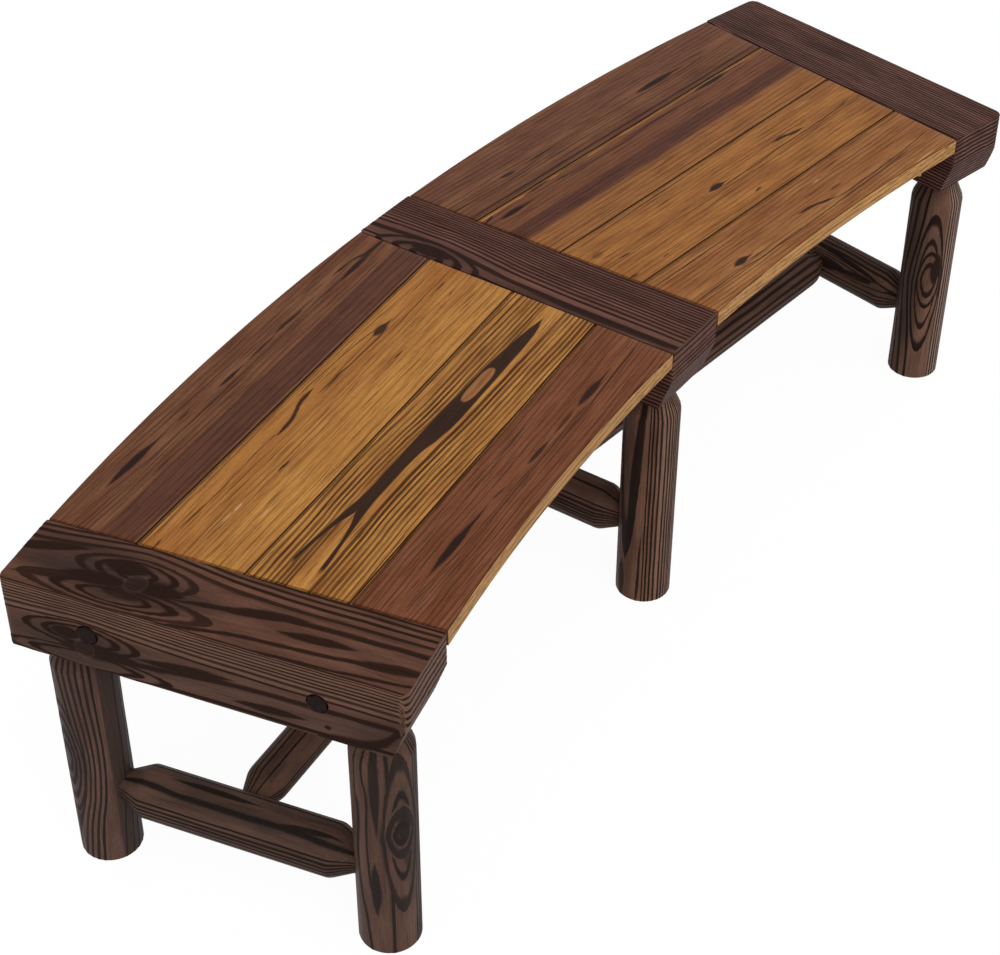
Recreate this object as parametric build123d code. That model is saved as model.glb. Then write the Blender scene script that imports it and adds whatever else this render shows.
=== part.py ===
from build123d import *

import math
import os

# Rustic log bench, curved in plan, in millimetres.
# +X runs along the bench to the right, +Y to its long convex back edge, +Z up.
# The origin is on the floor, in the middle of the bench's bounding box.
#
# Three frames carry the seat. Each frame is a squared log beam on two turned legs with
# a cross stretcher between them, and each lies on a radius of the seat's arc. In a
# frame's own axes, X is across the beam, and Y is measured from the beam's front end.

# ---- the seat as a whole ----
SEAT_HEIGHT = 457.0
FRONT_RADIUS = 3088.0       # from the centre of the arc to the beams' front ends
SEAT_DEPTH = 493.0          # length of a beam
FRAME_ANGLE = 12.68         # degrees from the middle frame to an end frame

# ---- beams ----
BEAM_WIDTH = 109.0
BEAM_HEIGHT = 98.5
END_UPRIGHT = 46.0          # height of the upright part of the front end
END_SETBACK = 18.5          # how far the lower part of the front end slopes back
OUTER_CORNER = 14.0         # rounding of an end beam's free corners, seen from above
INNER_CORNER = 3.0          # rounding of the corners beside the planks
BACK_TOE = 8.0              # rounding under the back end
TOP_EASE = 1.6              # rounding round the top face
UNDER_EASE = 3.5            # rounding along the lower edges

# ---- legs ----
LEG_DIAMETER = 76.0
LEG_INSET = 57.0            # from a beam's front end to the axis of the leg
BACK_LEG_INSET = 59.0       # the same at the back end
LEG_TAPER = 40.5            # height of the cone below the beam
LEG_TENON_LENGTH = 55.0
FOOT_EASE = 1.5

# ---- stretchers ----
STRETCHER_HEIGHT = 112.5    # floor to the axis of a cross stretcher
CROSS_DIAMETER = 67.5
CROSS_TENON_DEPTH = 50.0    # into the leg, from its surface
LONG_DIAMETER = 54.0
LONG_RISE = 3.0             # its axis above that of the cross stretchers
LONG_OUTWARD = 5.5          # its ends on the end frames, behind the cross stretcher's middle
LONG_INWARD = 3.0           # its end on the middle frame, in front of it
LONG_TENON_DEPTH = 26.0     # into the cross stretcher, from its surface
SHOULDER_REACH = 26.0       # from the face of the mortised log to the rail's shoulder
CONE_LENGTH = 28.0          # so the last of the cone sits in the mortise's mouth
SHOULDER_ROUND = 12.0

# ---- tenons ----
TENON_DIAMETER = 38.0
LONG_TENON_DIAMETER = 32.0
TENON_EASE = 2.0
FIT = 0.2                   # glue line round a tenon, and at its end

# ---- planks ----
PLANK_THICKNESS = 23.0
PLANK_GAP = 2.5             # between neighbouring planks
PLANK_END_GAP = 2.0         # between a plank and the beam
PLANK_EASE = 1.2
PLANK_BACK_STEP = 2.0       # the beams run on past the back edge of the planks
SEAMS = (114.0, 241.0, 376.0)   # from a beam's front end to the middle of each gap

# ---- ledgers on the beams, battens in mid bay ----
LEDGER_HEIGHT = 48.0
LEDGER_WIDTH = 44.0
LEDGER_INSET = 50.0         # from the beam's end
BATTEN_HEIGHT = 32.0
BATTEN_WIDTH = 64.0
BATTEN_INSET = 60.0         # from the seat's front and back arcs

# ---- bolts through beam and ledger ----
BOLT_DIAMETER = 12.7
BOLT_INSET = 104.0          # from the beam's front end
BACK_BOLT_INSET = 110.0     # from its back end
HEX_ACROSS_FLATS = 22.2
HEX_EASE = 1.2              # depth of the eased corners of a head or nut
HEAD_HEIGHT = 8.0
HEAD_PROUD = 1.0            # head above the beam's face, from its counterbore
NUT_HEIGHT = 12.0
BOLT_END = 3.0              # bolt beyond its nut
WASHER_DIAMETER = 25.8
WASHER_THICKNESS = 2.0
HOLE_CLEARANCE = 0.3        # on the radius of every drilled hole

# ---- wood screws ----
SCREW_SHANK = 4.4
SCREW_HEAD = 9.0
SCREW_HEAD_DEPTH = 3.0
SCREW_POINT = 5.0
SCREW_BITE = 15.0           # into the plank
SCREW_EDGE = 16.0           # from the end of a ledger to its first screw
SCREW_PAIR = 22.0           # between the two screws of an outer plank
SCREW_SEAM = 25.0           # from a seam to the nearest screw of an inner plank
TENON_SCREW_RISE = 16.0     # above the beam's underside
TENON_SCREW_PAST = 10.0     # beyond the axis of the tenon

# ---- sizes that follow ----
BACK_RADIUS = FRONT_RADIUS + SEAT_DEPTH
BEAM_UNDERSIDE = SEAT_HEIGHT - BEAM_HEIGHT
PLANK_UNDERSIDE = SEAT_HEIGHT - PLANK_THICKNESS
LEDGER_UNDERSIDE = PLANK_UNDERSIDE - LEDGER_HEIGHT
BATTEN_UNDERSIDE = PLANK_UNDERSIDE - BATTEN_HEIGHT
BOLT_HEIGHT = PLANK_UNDERSIDE - LEDGER_HEIGHT / 2
LEG_STATIONS = {"front": LEG_INSET, "back": SEAT_DEPTH - BACK_LEG_INSET}
BEAM_MIDDLE = SEAT_DEPTH / 2
RAIL_STATION = (LEG_STATIONS["front"] + LEG_STATIONS["back"]) / 2
LONG_STATIONS = {
    "left": RAIL_STATION + LONG_OUTWARD,
    "middle": RAIL_STATION - LONG_INWARD,
    "right": RAIL_STATION + LONG_OUTWARD,
}
BOLT_STATIONS = (BOLT_INSET, SEAT_DEPTH - BACK_BOLT_INSET)
COUNTERBORE_DEPTH = HEAD_HEIGHT + WASHER_THICKNESS - HEAD_PROUD
HALF_TURN = math.radians(FRAME_ANGLE / 2)
EDGE_OF_BEAM = BEAM_WIDTH / 2
PLANK_END = EDGE_OF_BEAM + PLANK_END_GAP

FRAMES = {"left": -FRAME_ANGLE, "middle": 0.0, "right": FRAME_ANGLE}
BAYS = {"left": -FRAME_ANGLE / 2, "right": FRAME_ANGLE / 2}


def arc_centre():
    """Y of the arc's centre, which puts the bounding box's middle on the origin."""
    turn = math.radians(FRAME_ANGLE)
    corner_along = (FRONT_RADIUS + OUTER_CORNER) * math.cos(turn)
    corner_across = (EDGE_OF_BEAM - OUTER_CORNER) * math.sin(turn)
    lowest = corner_along - corner_across - OUTER_CORNER
    return -(BACK_RADIUS + lowest) / 2


CENTRE_Y = arc_centre()


def frame_place(angle):
    """From a frame's own axes to the bench's."""
    return Pos(0, CENTRE_Y, 0) * Rot(0, 0, -angle) * Pos(0, FRONT_RADIUS, 0)


def bay_place(angle):
    """From a bay's axes, which start at the arc's centre, to the bench's."""
    return Pos(0, CENTRE_Y, 0) * Rot(0, 0, -angle)


def ledger_sides(bay):
    """The two ledgers of a bay, as (frame, side of its beam)."""
    return [("left", 1), ("middle", -1)] if bay == "left" else [("middle", 1), ("right", -1)]


def edges_where(solid, test):
    """The edges whose middle point passes the test."""
    return [edge for edge in solid.edges() if test(edge.center())]


def turned(points, axis, rounded=(), radius=0.0):
    """A solid of revolution from a closed outline in the XZ plane."""
    face = Plane.XZ * make_face(Polyline(*points, close=True))
    if radius > 0:
        corners = [
            vertex
            for vertex in face.vertices()
            if any(math.hypot(vertex.X - x, vertex.Z - z) < 0.01 for x, z in rounded)
        ]
        face = fillet(corners, radius)
    return revolve(face, axis=axis)


def rod(radius, length):
    """A round bar from the origin along +Z."""
    return Cylinder(radius, length, align=(Align.CENTER, Align.CENTER, Align.MIN))


def rail(span, socket_radius, body_radius, tenon_radius, tenon_depth, spare=0.0):
    """A turned rail along X between two logs whose axes are span apart.

    spare thickens and lengthens it all round, for cutting its mortises.
    """
    shoulder = span / 2 - socket_radius - SHOULDER_REACH
    neck = shoulder + CONE_LENGTH
    tip = span / 2 - socket_radius + tenon_depth + spare
    body = body_radius + spare
    tenon = tenon_radius + spare
    ease = TENON_EASE
    outline = [
        (-tip, 0),
        (-tip, tenon - ease),
        (-tip + ease, tenon),
        (-neck, tenon),
        (-shoulder, body),
        (shoulder, body),
        (neck, tenon),
        (tip - ease, tenon),
        (tip, tenon - ease),
        (tip, 0),
    ]
    rounded = [(-shoulder, body), (shoulder, body)]
    return turned(outline, Axis.X, rounded, SHOULDER_ROUND)


def cross_rail(spare=0.0):
    """Cross stretcher in its frame's axes."""
    span = LEG_STATIONS["back"] - LEG_STATIONS["front"]
    solid = rail(
        span, LEG_DIAMETER / 2, CROSS_DIAMETER / 2, TENON_DIAMETER / 2, CROSS_TENON_DEPTH, spare
    )
    return Pos(0, RAIL_STATION, STRETCHER_HEIGHT) * Rot(0, 0, 90) * solid


def long_rail(bay, spare=0.0):
    """Long stretcher in the bench's axes, between two cross stretchers."""
    start, end = [
        frame_place(FRAMES[frame]) * Pos(0, LONG_STATIONS[frame], STRETCHER_HEIGHT + LONG_RISE)
        for frame, _ in ledger_sides(bay)
    ]
    run = end.position - start.position
    solid = rail(
        run.length,
        CROSS_DIAMETER / 2,
        LONG_DIAMETER / 2,
        LONG_TENON_DIAMETER / 2,
        LONG_TENON_DEPTH,
        spare,
    )
    heading = math.degrees(math.atan2(run.Y, run.X))
    return Pos(start.position + run / 2) * Rot(0, 0, heading) * solid


def screw(length, spare=0.0):
    """A countersunk screw along +Z, with its head's face at the origin."""
    head = SCREW_HEAD / 2 + spare
    shank = SCREW_SHANK / 2 + spare
    tip = length + spare
    outline = [
        (0, 0),
        (head, 0),
        (shank, SCREW_HEAD_DEPTH),
        (shank, tip - SCREW_POINT),
        (0, tip),
    ]
    return turned(outline, Axis.Z)


def hexagon(height):
    """A hexagonal head or nut along +Z, its corners eased on the free face."""
    corner = HEX_ACROSS_FLATS / math.sqrt(3)
    outline = [
        (0, 0),
        (corner, 0),
        (corner, height - HEX_EASE),
        (corner - 2 * HEX_EASE, height),
        (0, height),
    ]
    return extrude(RegularPolygon(corner, 6), height) & turned(outline, Axis.Z)


def washer():
    """A flat washer standing on the XY plane."""
    hole = Cylinder(BOLT_DIAMETER / 2 + HOLE_CLEARANCE, 4 * WASHER_THICKNESS)
    return rod(WASHER_DIAMETER / 2, WASHER_THICKNESS) - hole


# ---- where the fasteners go ----
def ledger_screw_stations():
    """The two screw stations of each plank along a ledger, front plank first."""
    first = LEDGER_INSET + SCREW_EDGE
    stations = [(first, first + SCREW_PAIR)]
    for near, far in zip(SEAMS, SEAMS[1:]):
        stations.append((near + SCREW_SEAM, far - SCREW_SEAM))
    last = SEAT_DEPTH - first
    stations.append((last - SCREW_PAIR, last))
    return stations


def seam_y(station):
    """Y of a seam in its bay's axes. A seam is straight and meets both beams alike."""
    return (FRONT_RADIUS + station) * math.cos(HALF_TURN) + EDGE_OF_BEAM * math.sin(HALF_TURN)


def seat_back():
    """Station of the seat's back edge along a beam."""
    return SEAT_DEPTH - PLANK_BACK_STEP


def arc_radius(station):
    """Radius of the arc through the beams' corners at that station."""
    return math.hypot(FRONT_RADIUS + station, EDGE_OF_BEAM)


def batten_screw_stations():
    """Y in the bay's axes of the two batten screws of each plank."""
    front = arc_radius(0) + BATTEN_INSET
    back = arc_radius(seat_back()) - BATTEN_INSET
    lines = [seam_y(seam) for seam in SEAMS]
    bounds = list(zip([front] + lines, lines + [back]))
    return [(low + SCREW_EDGE, high - SCREW_EDGE) for low, high in bounds]


def screws_of_bay(bay):
    """Placed screws under a bay, as (plank index, carrier, place, length)."""
    rows = []
    ledger_length = LEDGER_HEIGHT + SCREW_BITE
    batten_length = BATTEN_HEIGHT + SCREW_BITE
    for frame, side in ledger_sides(bay):
        across = side * (EDGE_OF_BEAM + LEDGER_WIDTH / 2)
        for plank, stations in enumerate(ledger_screw_stations()):
            for station in stations:
                place = frame_place(FRAMES[frame]) * Pos(across, station, LEDGER_UNDERSIDE)
                rows.append((plank, (frame, side), place, ledger_length))
    for plank, stations in enumerate(batten_screw_stations()):
        for y in stations:
            place = bay_place(BAYS[bay]) * Pos(0, y, BATTEN_UNDERSIDE)
            rows.append((plank, "batten", place, batten_length))
    return rows


def frame_sides(frame):
    """The sides of a frame's beam that carry a ledger."""
    return {"left": [1], "middle": [1, -1], "right": [-1]}[frame]


def tenon_screws(frame, spare=0.0):
    """The screws through a beam into its two leg tenons, in the frame's axes."""
    side = frame_sides(frame)[0]
    solid = screw(EDGE_OF_BEAM + TENON_SCREW_PAST, spare)
    height = BEAM_UNDERSIDE + TENON_SCREW_RISE
    return {
        end: Pos(side * EDGE_OF_BEAM, station, height) * Rot(0, -90 * side, 0) * solid
        for end, station in LEG_STATIONS.items()
    }


# ---- the wooden pieces ----
def leg_solid(spare=0.0):
    """A leg in its own axes, its foot on the XY plane and its tenon up."""
    body = LEG_DIAMETER / 2
    tenon = TENON_DIAMETER / 2 + spare
    shoulder = BEAM_UNDERSIDE - LEG_TAPER
    tip = BEAM_UNDERSIDE + LEG_TENON_LENGTH + spare
    outline = [
        (0, 0),
        (body - FOOT_EASE, 0),
        (body, FOOT_EASE),
        (body, shoulder),
        (tenon, BEAM_UNDERSIDE),
        (tenon, tip - TENON_EASE),
        (tenon - TENON_EASE, tip),
        (0, tip),
    ]
    return turned(outline, Axis.Z, [(body, shoulder)], SHOULDER_ROUND)


def leg(frame, end):
    """A leg with its stretcher's mortise and its pilot hole, in the bench's axes."""
    solid = Pos(0, LEG_STATIONS[end], 0) * leg_solid()
    solid -= cross_rail(FIT)
    solid -= tenon_screws(frame, HOLE_CLEARANCE)[end]
    return frame_place(FRAMES[frame]) * solid


def beam_plan(frame):
    """A beam seen from above, its free corners rounder than those beside the planks."""
    free = {"left": [-1], "middle": [], "right": [1]}[frame]
    plan = Pos(0, BEAM_MIDDLE) * Rectangle(BEAM_WIDTH, SEAT_DEPTH)
    for side in (-1, 1):
        corners = [vertex for vertex in plan.vertices() if vertex.X * side > 0]
        plan = fillet(corners, OUTER_CORNER if side in free else INNER_CORNER)
    return plan


def beam_profile():
    """A beam seen from the side, with its sloped front end."""
    outline = [
        (0, SEAT_HEIGHT),
        (SEAT_DEPTH, SEAT_HEIGHT),
        (SEAT_DEPTH, BEAM_UNDERSIDE),
        (END_SETBACK, BEAM_UNDERSIDE),
        (0, SEAT_HEIGHT - END_UPRIGHT),
    ]
    profile = Plane.YZ * make_face(Polyline(*outline, close=True))
    under = [vertex for vertex in profile.vertices() if vertex.Z < BEAM_UNDERSIDE + 1]
    profile = fillet([vertex for vertex in under if vertex.Y > BEAM_MIDDLE], BACK_TOE)
    front = [vertex for vertex in profile.vertices() if vertex.Y < END_SETBACK + 1]
    front = [vertex for vertex in front if vertex.Z < SEAT_HEIGHT - 1]
    return fillet(front, UNDER_EASE)


def beam_section():
    """A beam's cross section, with its lower corners eased."""
    middle_z = SEAT_HEIGHT - BEAM_HEIGHT / 2
    section = Plane.XZ * Pos(0, middle_z) * Rectangle(BEAM_WIDTH, BEAM_HEIGHT)
    under = [vertex for vertex in section.vertices() if vertex.Z < middle_z]
    return fillet(under, UNDER_EASE)


def beam_blank(frame):
    """The squared log with its eased edges."""
    solid = extrude(beam_profile(), BEAM_WIDTH, both=True)
    solid &= extrude(beam_section(), 2 * SEAT_DEPTH, both=True)
    solid &= extrude(beam_plan(frame), 2 * SEAT_HEIGHT)
    return fillet(edges_where(solid, lambda p: p.Z > SEAT_HEIGHT - 0.01), TOP_EASE)


def bolt_pose(side, station, from_face):
    """A place on a bolt's axis, with +Z pointing into the beam from the given side."""
    return Pos(side * (EDGE_OF_BEAM + from_face), station, BOLT_HEIGHT) * Rot(0, -90 * side, 0)


def beam(frame):
    """A beam with its mortises, bolt holes and counterbores, in the bench's axes."""
    solid = beam_blank(frame)
    sides = frame_sides(frame)
    for station in LEG_STATIONS.values():
        mouth = Pos(0, station, BEAM_UNDERSIDE)
        solid -= mouth * rod(TENON_DIAMETER / 2 + FIT, LEG_TENON_LENGTH + FIT)
    for station in BOLT_STATIONS:
        hole = Cylinder(BOLT_DIAMETER / 2 + HOLE_CLEARANCE, 2 * BEAM_WIDTH)
        solid -= Pos(0, station, BOLT_HEIGHT) * Rot(0, 90, 0) * hole
        for side in (-1, 1):
            if side not in sides:
                pocket = rod(WASHER_DIAMETER / 2 + HOLE_CLEARANCE, 2 * COUNTERBORE_DEPTH)
                solid -= bolt_pose(side, station, COUNTERBORE_DEPTH) * pocket
    for cutter in tenon_screws(frame, HOLE_CLEARANCE).values():
        solid -= cutter
    return frame_place(FRAMES[frame]) * solid


def cross_stretcher(frame):
    """A cross stretcher with the mortises of its long stretchers."""
    solid = frame_place(FRAMES[frame]) * cross_rail()
    for bay in BAYS:
        if frame in (bay, "middle"):
            solid -= long_rail(bay, FIT)
    return solid


def ledger(frame, side):
    """A ledger on one side of a beam, with its bolt and screw holes."""
    length = SEAT_DEPTH - 2 * LEDGER_INSET
    across = side * (EDGE_OF_BEAM + LEDGER_WIDTH / 2)
    solid = Pos(across, BEAM_MIDDLE, BOLT_HEIGHT) * Box(LEDGER_WIDTH, length, LEDGER_HEIGHT)
    for station in BOLT_STATIONS:
        hole = Cylinder(BOLT_DIAMETER / 2 + HOLE_CLEARANCE, 2 * LEDGER_WIDTH)
        solid -= Pos(across, station, BOLT_HEIGHT) * Rot(0, 90, 0) * hole
    cutter = screw(LEDGER_HEIGHT + SCREW_BITE, HOLE_CLEARANCE)
    for stations in ledger_screw_stations():
        for station in stations:
            solid -= Pos(across, station, LEDGER_UNDERSIDE) * cutter
    return frame_place(FRAMES[frame]) * solid


def batten(bay):
    """The batten under the middle of a bay, with its screw holes."""
    front = arc_radius(0) + BATTEN_INSET
    back = arc_radius(seat_back()) - BATTEN_INSET
    middle_z = PLANK_UNDERSIDE - BATTEN_HEIGHT / 2
    solid = Pos(0, (front + back) / 2, middle_z) * Box(BATTEN_WIDTH, back - front, BATTEN_HEIGHT)
    cutter = screw(BATTEN_HEIGHT + SCREW_BITE, HOLE_CLEARANCE)
    for stations in batten_screw_stations():
        for y in stations:
            solid -= Pos(0, y, BATTEN_UNDERSIDE) * cutter
    return bay_place(BAYS[bay]) * solid


def bay_outline():
    """The seat between two beams, in the bay's axes, as a flat face."""
    ring = Circle(arc_radius(seat_back())) - Circle(arc_radius(0))
    reach = BACK_RADIUS + SEAT_DEPTH
    near = FRONT_RADIUS - SEAT_DEPTH

    def on_end_line(side, radius):
        """A point of a plank's end line, which is parallel to the beam's radius."""
        turn = side * HALF_TURN
        across = -side * PLANK_END
        x = radius * math.sin(turn) + across * math.cos(turn)
        y = radius * math.cos(turn) - across * math.sin(turn)
        return (x, y)

    corners = [
        on_end_line(-1, near),
        on_end_line(1, near),
        on_end_line(1, reach),
        on_end_line(-1, reach),
    ]
    return ring & make_face(Polyline(*corners, close=True))


def plank_blanks():
    """The four planks of a bay in its axes, front plank first."""
    outline = bay_outline()
    far = 2 * SEAT_DEPTH
    lines = [seam_y(-far)] + [seam_y(seam) for seam in SEAMS] + [seam_y(SEAT_DEPTH + far)]
    width = 2 * BACK_RADIUS * math.sin(HALF_TURN)
    blanks = []
    for low, high in zip(lines, lines[1:]):
        strip = Pos(0, (low + high) / 2) * Rectangle(width, high - low - PLANK_GAP)
        solid = extrude(Pos(0, 0, PLANK_UNDERSIDE) * (outline & strip), PLANK_THICKNESS)
        top = edges_where(solid, lambda p: p.Z > SEAT_HEIGHT - 0.01)
        blanks.append(chamfer(top, PLANK_EASE))
    return blanks


def planks(bay):
    """The four planks of a bay with their pilot holes, in the bench's axes."""
    solids = [bay_place(BAYS[bay]) * blank for blank in plank_blanks()]
    for plank, _, place, length in screws_of_bay(bay):
        solids[plank] -= place * screw(length, HOLE_CLEARANCE)
    return solids


# ---- the steel pieces ----
def bolt(grip):
    """A hex bolt along +Z: the head's underside at the origin, its nut past the grip."""
    head = Rot(180, 0, 0) * hexagon(HEAD_HEIGHT)
    return head + rod(BOLT_DIAMETER / 2, grip + NUT_HEIGHT + BOLT_END)


def nut():
    """A hex nut standing on the XY plane."""
    return hexagon(NUT_HEIGHT) - Cylinder(BOLT_DIAMETER / 2, 4 * NUT_HEIGHT)


def bolt_sets(frame):
    """Bolts, washers and nuts of a frame, in the bench's axes."""
    place = frame_place(FRAMES[frame])
    sides = frame_sides(frame)
    bolts, washers, nuts = [], [], []
    head_side = -sides[0]
    seat = LEDGER_WIDTH if head_side in sides else -COUNTERBORE_DEPTH
    grip = seat + BEAM_WIDTH + LEDGER_WIDTH + 2 * WASHER_THICKNESS
    for station in BOLT_STATIONS:
        start = place * bolt_pose(head_side, station, seat + WASHER_THICKNESS)
        bolts.append(start * bolt(grip))
        washers.append(start * washer())
        washers.append(start * Pos(0, 0, grip - WASHER_THICKNESS) * washer())
        nuts.append(start * Pos(0, 0, grip) * nut())
    return bolts, washers, nuts


def save(name, *solids):
    """Write one named sub-part."""
    shape = solids[0] if len(solids) == 1 else Compound(children=list(solids))
    export_step(shape, f"parts/{name}.step")


def main():
    os.makedirs("parts", exist_ok=True)
    washers, nuts, end_bolts, tenon_pins = [], [], [], []
    for frame, angle in FRAMES.items():
        save("middle_beam" if frame == "middle" else f"end_beam_{frame}", beam(frame))
        save(f"cross_stretcher_{frame}", cross_stretcher(frame))
        for end in LEG_STATIONS:
            save(f"leg_{frame}_{end}", leg(frame, end))
        bolts, new_washers, new_nuts = bolt_sets(frame)
        washers += new_washers
        nuts += new_nuts
        if frame == "middle":
            save("middle_beam_bolts", *bolts)
        else:
            end_bolts += bolts
        tenon_pins += [frame_place(angle) * solid for solid in tenon_screws(frame).values()]
    for bay in BAYS:
        save(f"long_stretcher_{bay}", long_rail(bay))
        save(f"seat_batten_{bay}", batten(bay))
        for number, solid in enumerate(planks(bay), start=1):
            save(f"seat_plank_{bay}_{number}", solid)
        for frame, side in ledger_sides(bay):
            save(f"seat_ledger_{bay}_{frame}", ledger(frame, side))
        rows = screws_of_bay(bay)
        in_batten = [place * screw(length) for _, carrier, place, length in rows if carrier == "batten"]
        in_ledger = [place * screw(length) for _, carrier, place, length in rows if carrier != "batten"]
        save(f"batten_screws_{bay}", *in_batten)
        save(f"ledger_screws_{bay}", *in_ledger)
    save("end_beam_bolts", *end_bolts)
    save("bolt_washers", *washers)
    save("bolt_nuts", *nuts)
    save("leg_tenon_screws", *tenon_pins)


main()
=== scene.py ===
import inspect
import math
from functools import partialmethod

import bmesh
import bpy
from mathutils import Matrix, Vector


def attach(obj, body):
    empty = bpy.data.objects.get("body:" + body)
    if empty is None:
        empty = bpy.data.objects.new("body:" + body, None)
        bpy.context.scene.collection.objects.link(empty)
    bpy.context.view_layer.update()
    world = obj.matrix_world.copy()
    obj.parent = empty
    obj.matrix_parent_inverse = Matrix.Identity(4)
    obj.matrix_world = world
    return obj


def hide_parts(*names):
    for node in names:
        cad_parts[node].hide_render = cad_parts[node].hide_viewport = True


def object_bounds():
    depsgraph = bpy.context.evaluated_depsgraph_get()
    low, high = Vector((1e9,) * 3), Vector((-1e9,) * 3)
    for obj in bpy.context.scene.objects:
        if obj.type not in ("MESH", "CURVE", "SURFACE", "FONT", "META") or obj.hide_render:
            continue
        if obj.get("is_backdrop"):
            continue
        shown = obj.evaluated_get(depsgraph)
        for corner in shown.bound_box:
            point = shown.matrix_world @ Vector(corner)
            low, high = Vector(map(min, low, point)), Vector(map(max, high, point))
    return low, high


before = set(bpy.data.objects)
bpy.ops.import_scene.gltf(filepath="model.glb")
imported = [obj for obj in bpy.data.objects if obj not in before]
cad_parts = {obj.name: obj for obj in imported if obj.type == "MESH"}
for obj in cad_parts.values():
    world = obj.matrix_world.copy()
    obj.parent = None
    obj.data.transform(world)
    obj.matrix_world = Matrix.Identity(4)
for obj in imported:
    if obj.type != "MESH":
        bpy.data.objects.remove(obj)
solid_box = [list(corner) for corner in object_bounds()]


# Legs. Each is a peeled and turned softwood log, coned at the top into a round tenon that is
# driven up into its beam. The wood was stained dark and wire brushed, which leaves the hard
# dark late wood standing a little proud of the brown early wood.
MM = 0.001
ARC_CENTRE_Y = -3292.23
FRONT_RADIUS = 3088.0
FRAME_TURN = {"left": math.radians(-12.68), "middle": 0.0, "right": math.radians(12.68)}
LEG_STATION = {"front": 57.0, "back": 434.0}
LEG_DIAMETER = 76.0
LEG_SHOULDER = 318.0
BEAM_UNDERSIDE = 358.5
LEG_LENGTH = 413.5
LEG_TENON = 38.0
LEG_MORTISE = {"diameter": 38.4, "depth": 50.2}
FOOT_EASE = 1.5
STRETCHER_HEIGHT = 112.5
BRUSHED_DEPTH = 0.32
LOG_SMOKE = (46, 40, 38)
LOG_COLOURS = ((104, 76, 63), (84, 61, 51), (30, 23, 21))
LOG_SATIN = (0.44, 0.1)
LOG_HEART = (-9.0, 6.0)
LOG_YEAR = 4.2
LOG_CREASE = 32.0
WIDE_GAP = 16.0
AFTER_LINE = 4.0
STROKE_TIP = 26.0


def stain(red, green, blue):
    """A colour in the 0 to 255 steps of a stain chart, as the linear colour a shader takes."""
    steps = [value / 255 for value in (red, green, blue)]
    linear = [s / 12.92 if s <= 0.04045 else ((s + 0.055) / 1.055) ** 2.4 for s in steps]
    return (*linear, 1.0)


class Reading:
    """What a node gives: a number or a colour at every point of a piece, or a shape."""

    def __init__(self, tree, socket):
        self.tree, self.socket = tree, socket

    def worked(self, operation, *others):
        return new_step(self.tree, "ShaderNodeMath", self, *others, operation=operation)

    __add__ = partialmethod(worked, "ADD")
    __sub__ = partialmethod(worked, "SUBTRACT")
    __mul__ = partialmethod(worked, "MULTIPLY")
    __truediv__ = partialmethod(worked, "DIVIDE")
    __abs__ = partialmethod(worked, "ABSOLUTE")
    power = partialmethod(worked, "POWER")
    at_least = partialmethod(worked, "MAXIMUM")
    at_most = partialmethod(worked, "MINIMUM")
    scaled = partialmethod(worked, "MULTIPLY_ADD")

    def on_points(self, operation, *others, **more):
        """One sum on points or directions."""
        more["operation"] = operation
        return new_step(self.tree, "ShaderNodeVectorMath", self, *others, **more)

    def rise(self, low, high, start=0.0, end=1.0):
        """Nought below low and one above high, with a soft slope between."""
        return new_step(
            self.tree, "ShaderNodeMapRange", self, low, high, start, end,
            interpolation_type="SMOOTHSTEP",
        )

    def fall(self, low, high):
        return self.rise(low, high, 1.0, 0.0)

    def parts(self):
        """The three numbers of a point."""
        split = self.tree.nodes.new("ShaderNodeSeparateXYZ")
        feed(self.tree, split.inputs[0], self)
        return [Reading(self.tree, socket) for socket in split.outputs]

    def read_off(self, points):
        """A value read from a drawn curve through (position, value) points, level past its ends."""
        low, high = points[0][0], points[-1][0]
        least = min(value for _, value in points)
        span = max(value for _, value in points) - least
        node = self.tree.nodes.new("ShaderNodeFloatCurve")
        curve = node.mapping.curves[0]
        for _ in range(len(points) - 2):
            curve.points.new(0.5, 0.5)
        placed = [((p - low) / (high - low), (v - least) / span) for p, v in points]
        for knot, place in zip(curve.points, placed):
            knot.location = place
            knot.handle_type = "AUTO_CLAMPED"
        node.mapping.update()
        share = self.at_least(low).at_most(high)
        feed(self.tree, node.inputs["Value"], share.scaled(1 / (high - low), -low / (high - low)))
        return Reading(self.tree, node.outputs["Value"]).scaled(span, least)

    def lined(self, lines, breadth, pitch=None):
        """A count that ends a year at each line, dark over the line's breadth before it."""
        points = []
        for number, line in enumerate(lines):
            place, broad = line if isinstance(line, tuple) else (line, breadth)
            points += [(place - broad / 2, number + 0.45), (place + broad / 2, number + 1.0)]
        for number in range(len(lines) - 1, 0, -1):
            after, ahead = points[2 * number - 1], points[2 * number]
            if ahead[0] - after[0] > WIDE_GAP:
                points.insert(2 * number, (after[0] + AFTER_LINE, after[1] + 0.25))
        low, high = points[0][0] - breadth, points[-1][0] + breadth
        count = self.read_off([(low, 0.25), *points, (high, len(lines) + 0.25)])
        if pitch is None:
            return count
        return count + (self - self.at_least(low).at_most(high)) * (1 / pitch)


def feed(tree, socket, value):
    """Sets a socket to a plain value, or links a reading to it."""
    if isinstance(value, Reading):
        tree.links.new(value.socket, socket)
    else:
        socket.default_value = value


def feed_all(tree, node, inputs):
    """Feeds the inputs of a node, each by its name or its number."""
    for socket, value in inputs.items():
        feed(tree, node.inputs[socket], value)


def new_step(tree, kind, *values, named=(), out=0, **settings):
    """Adds a node with its settings and inputs, by order or by name, and gives one output."""
    node = tree.nodes.new(kind)
    for setting, value in settings.items():
        setattr(node, setting, value)
    feed_all(tree, node, {**dict(enumerate(values)), **dict(named)})
    return Reading(tree, node.outputs[out])


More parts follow.
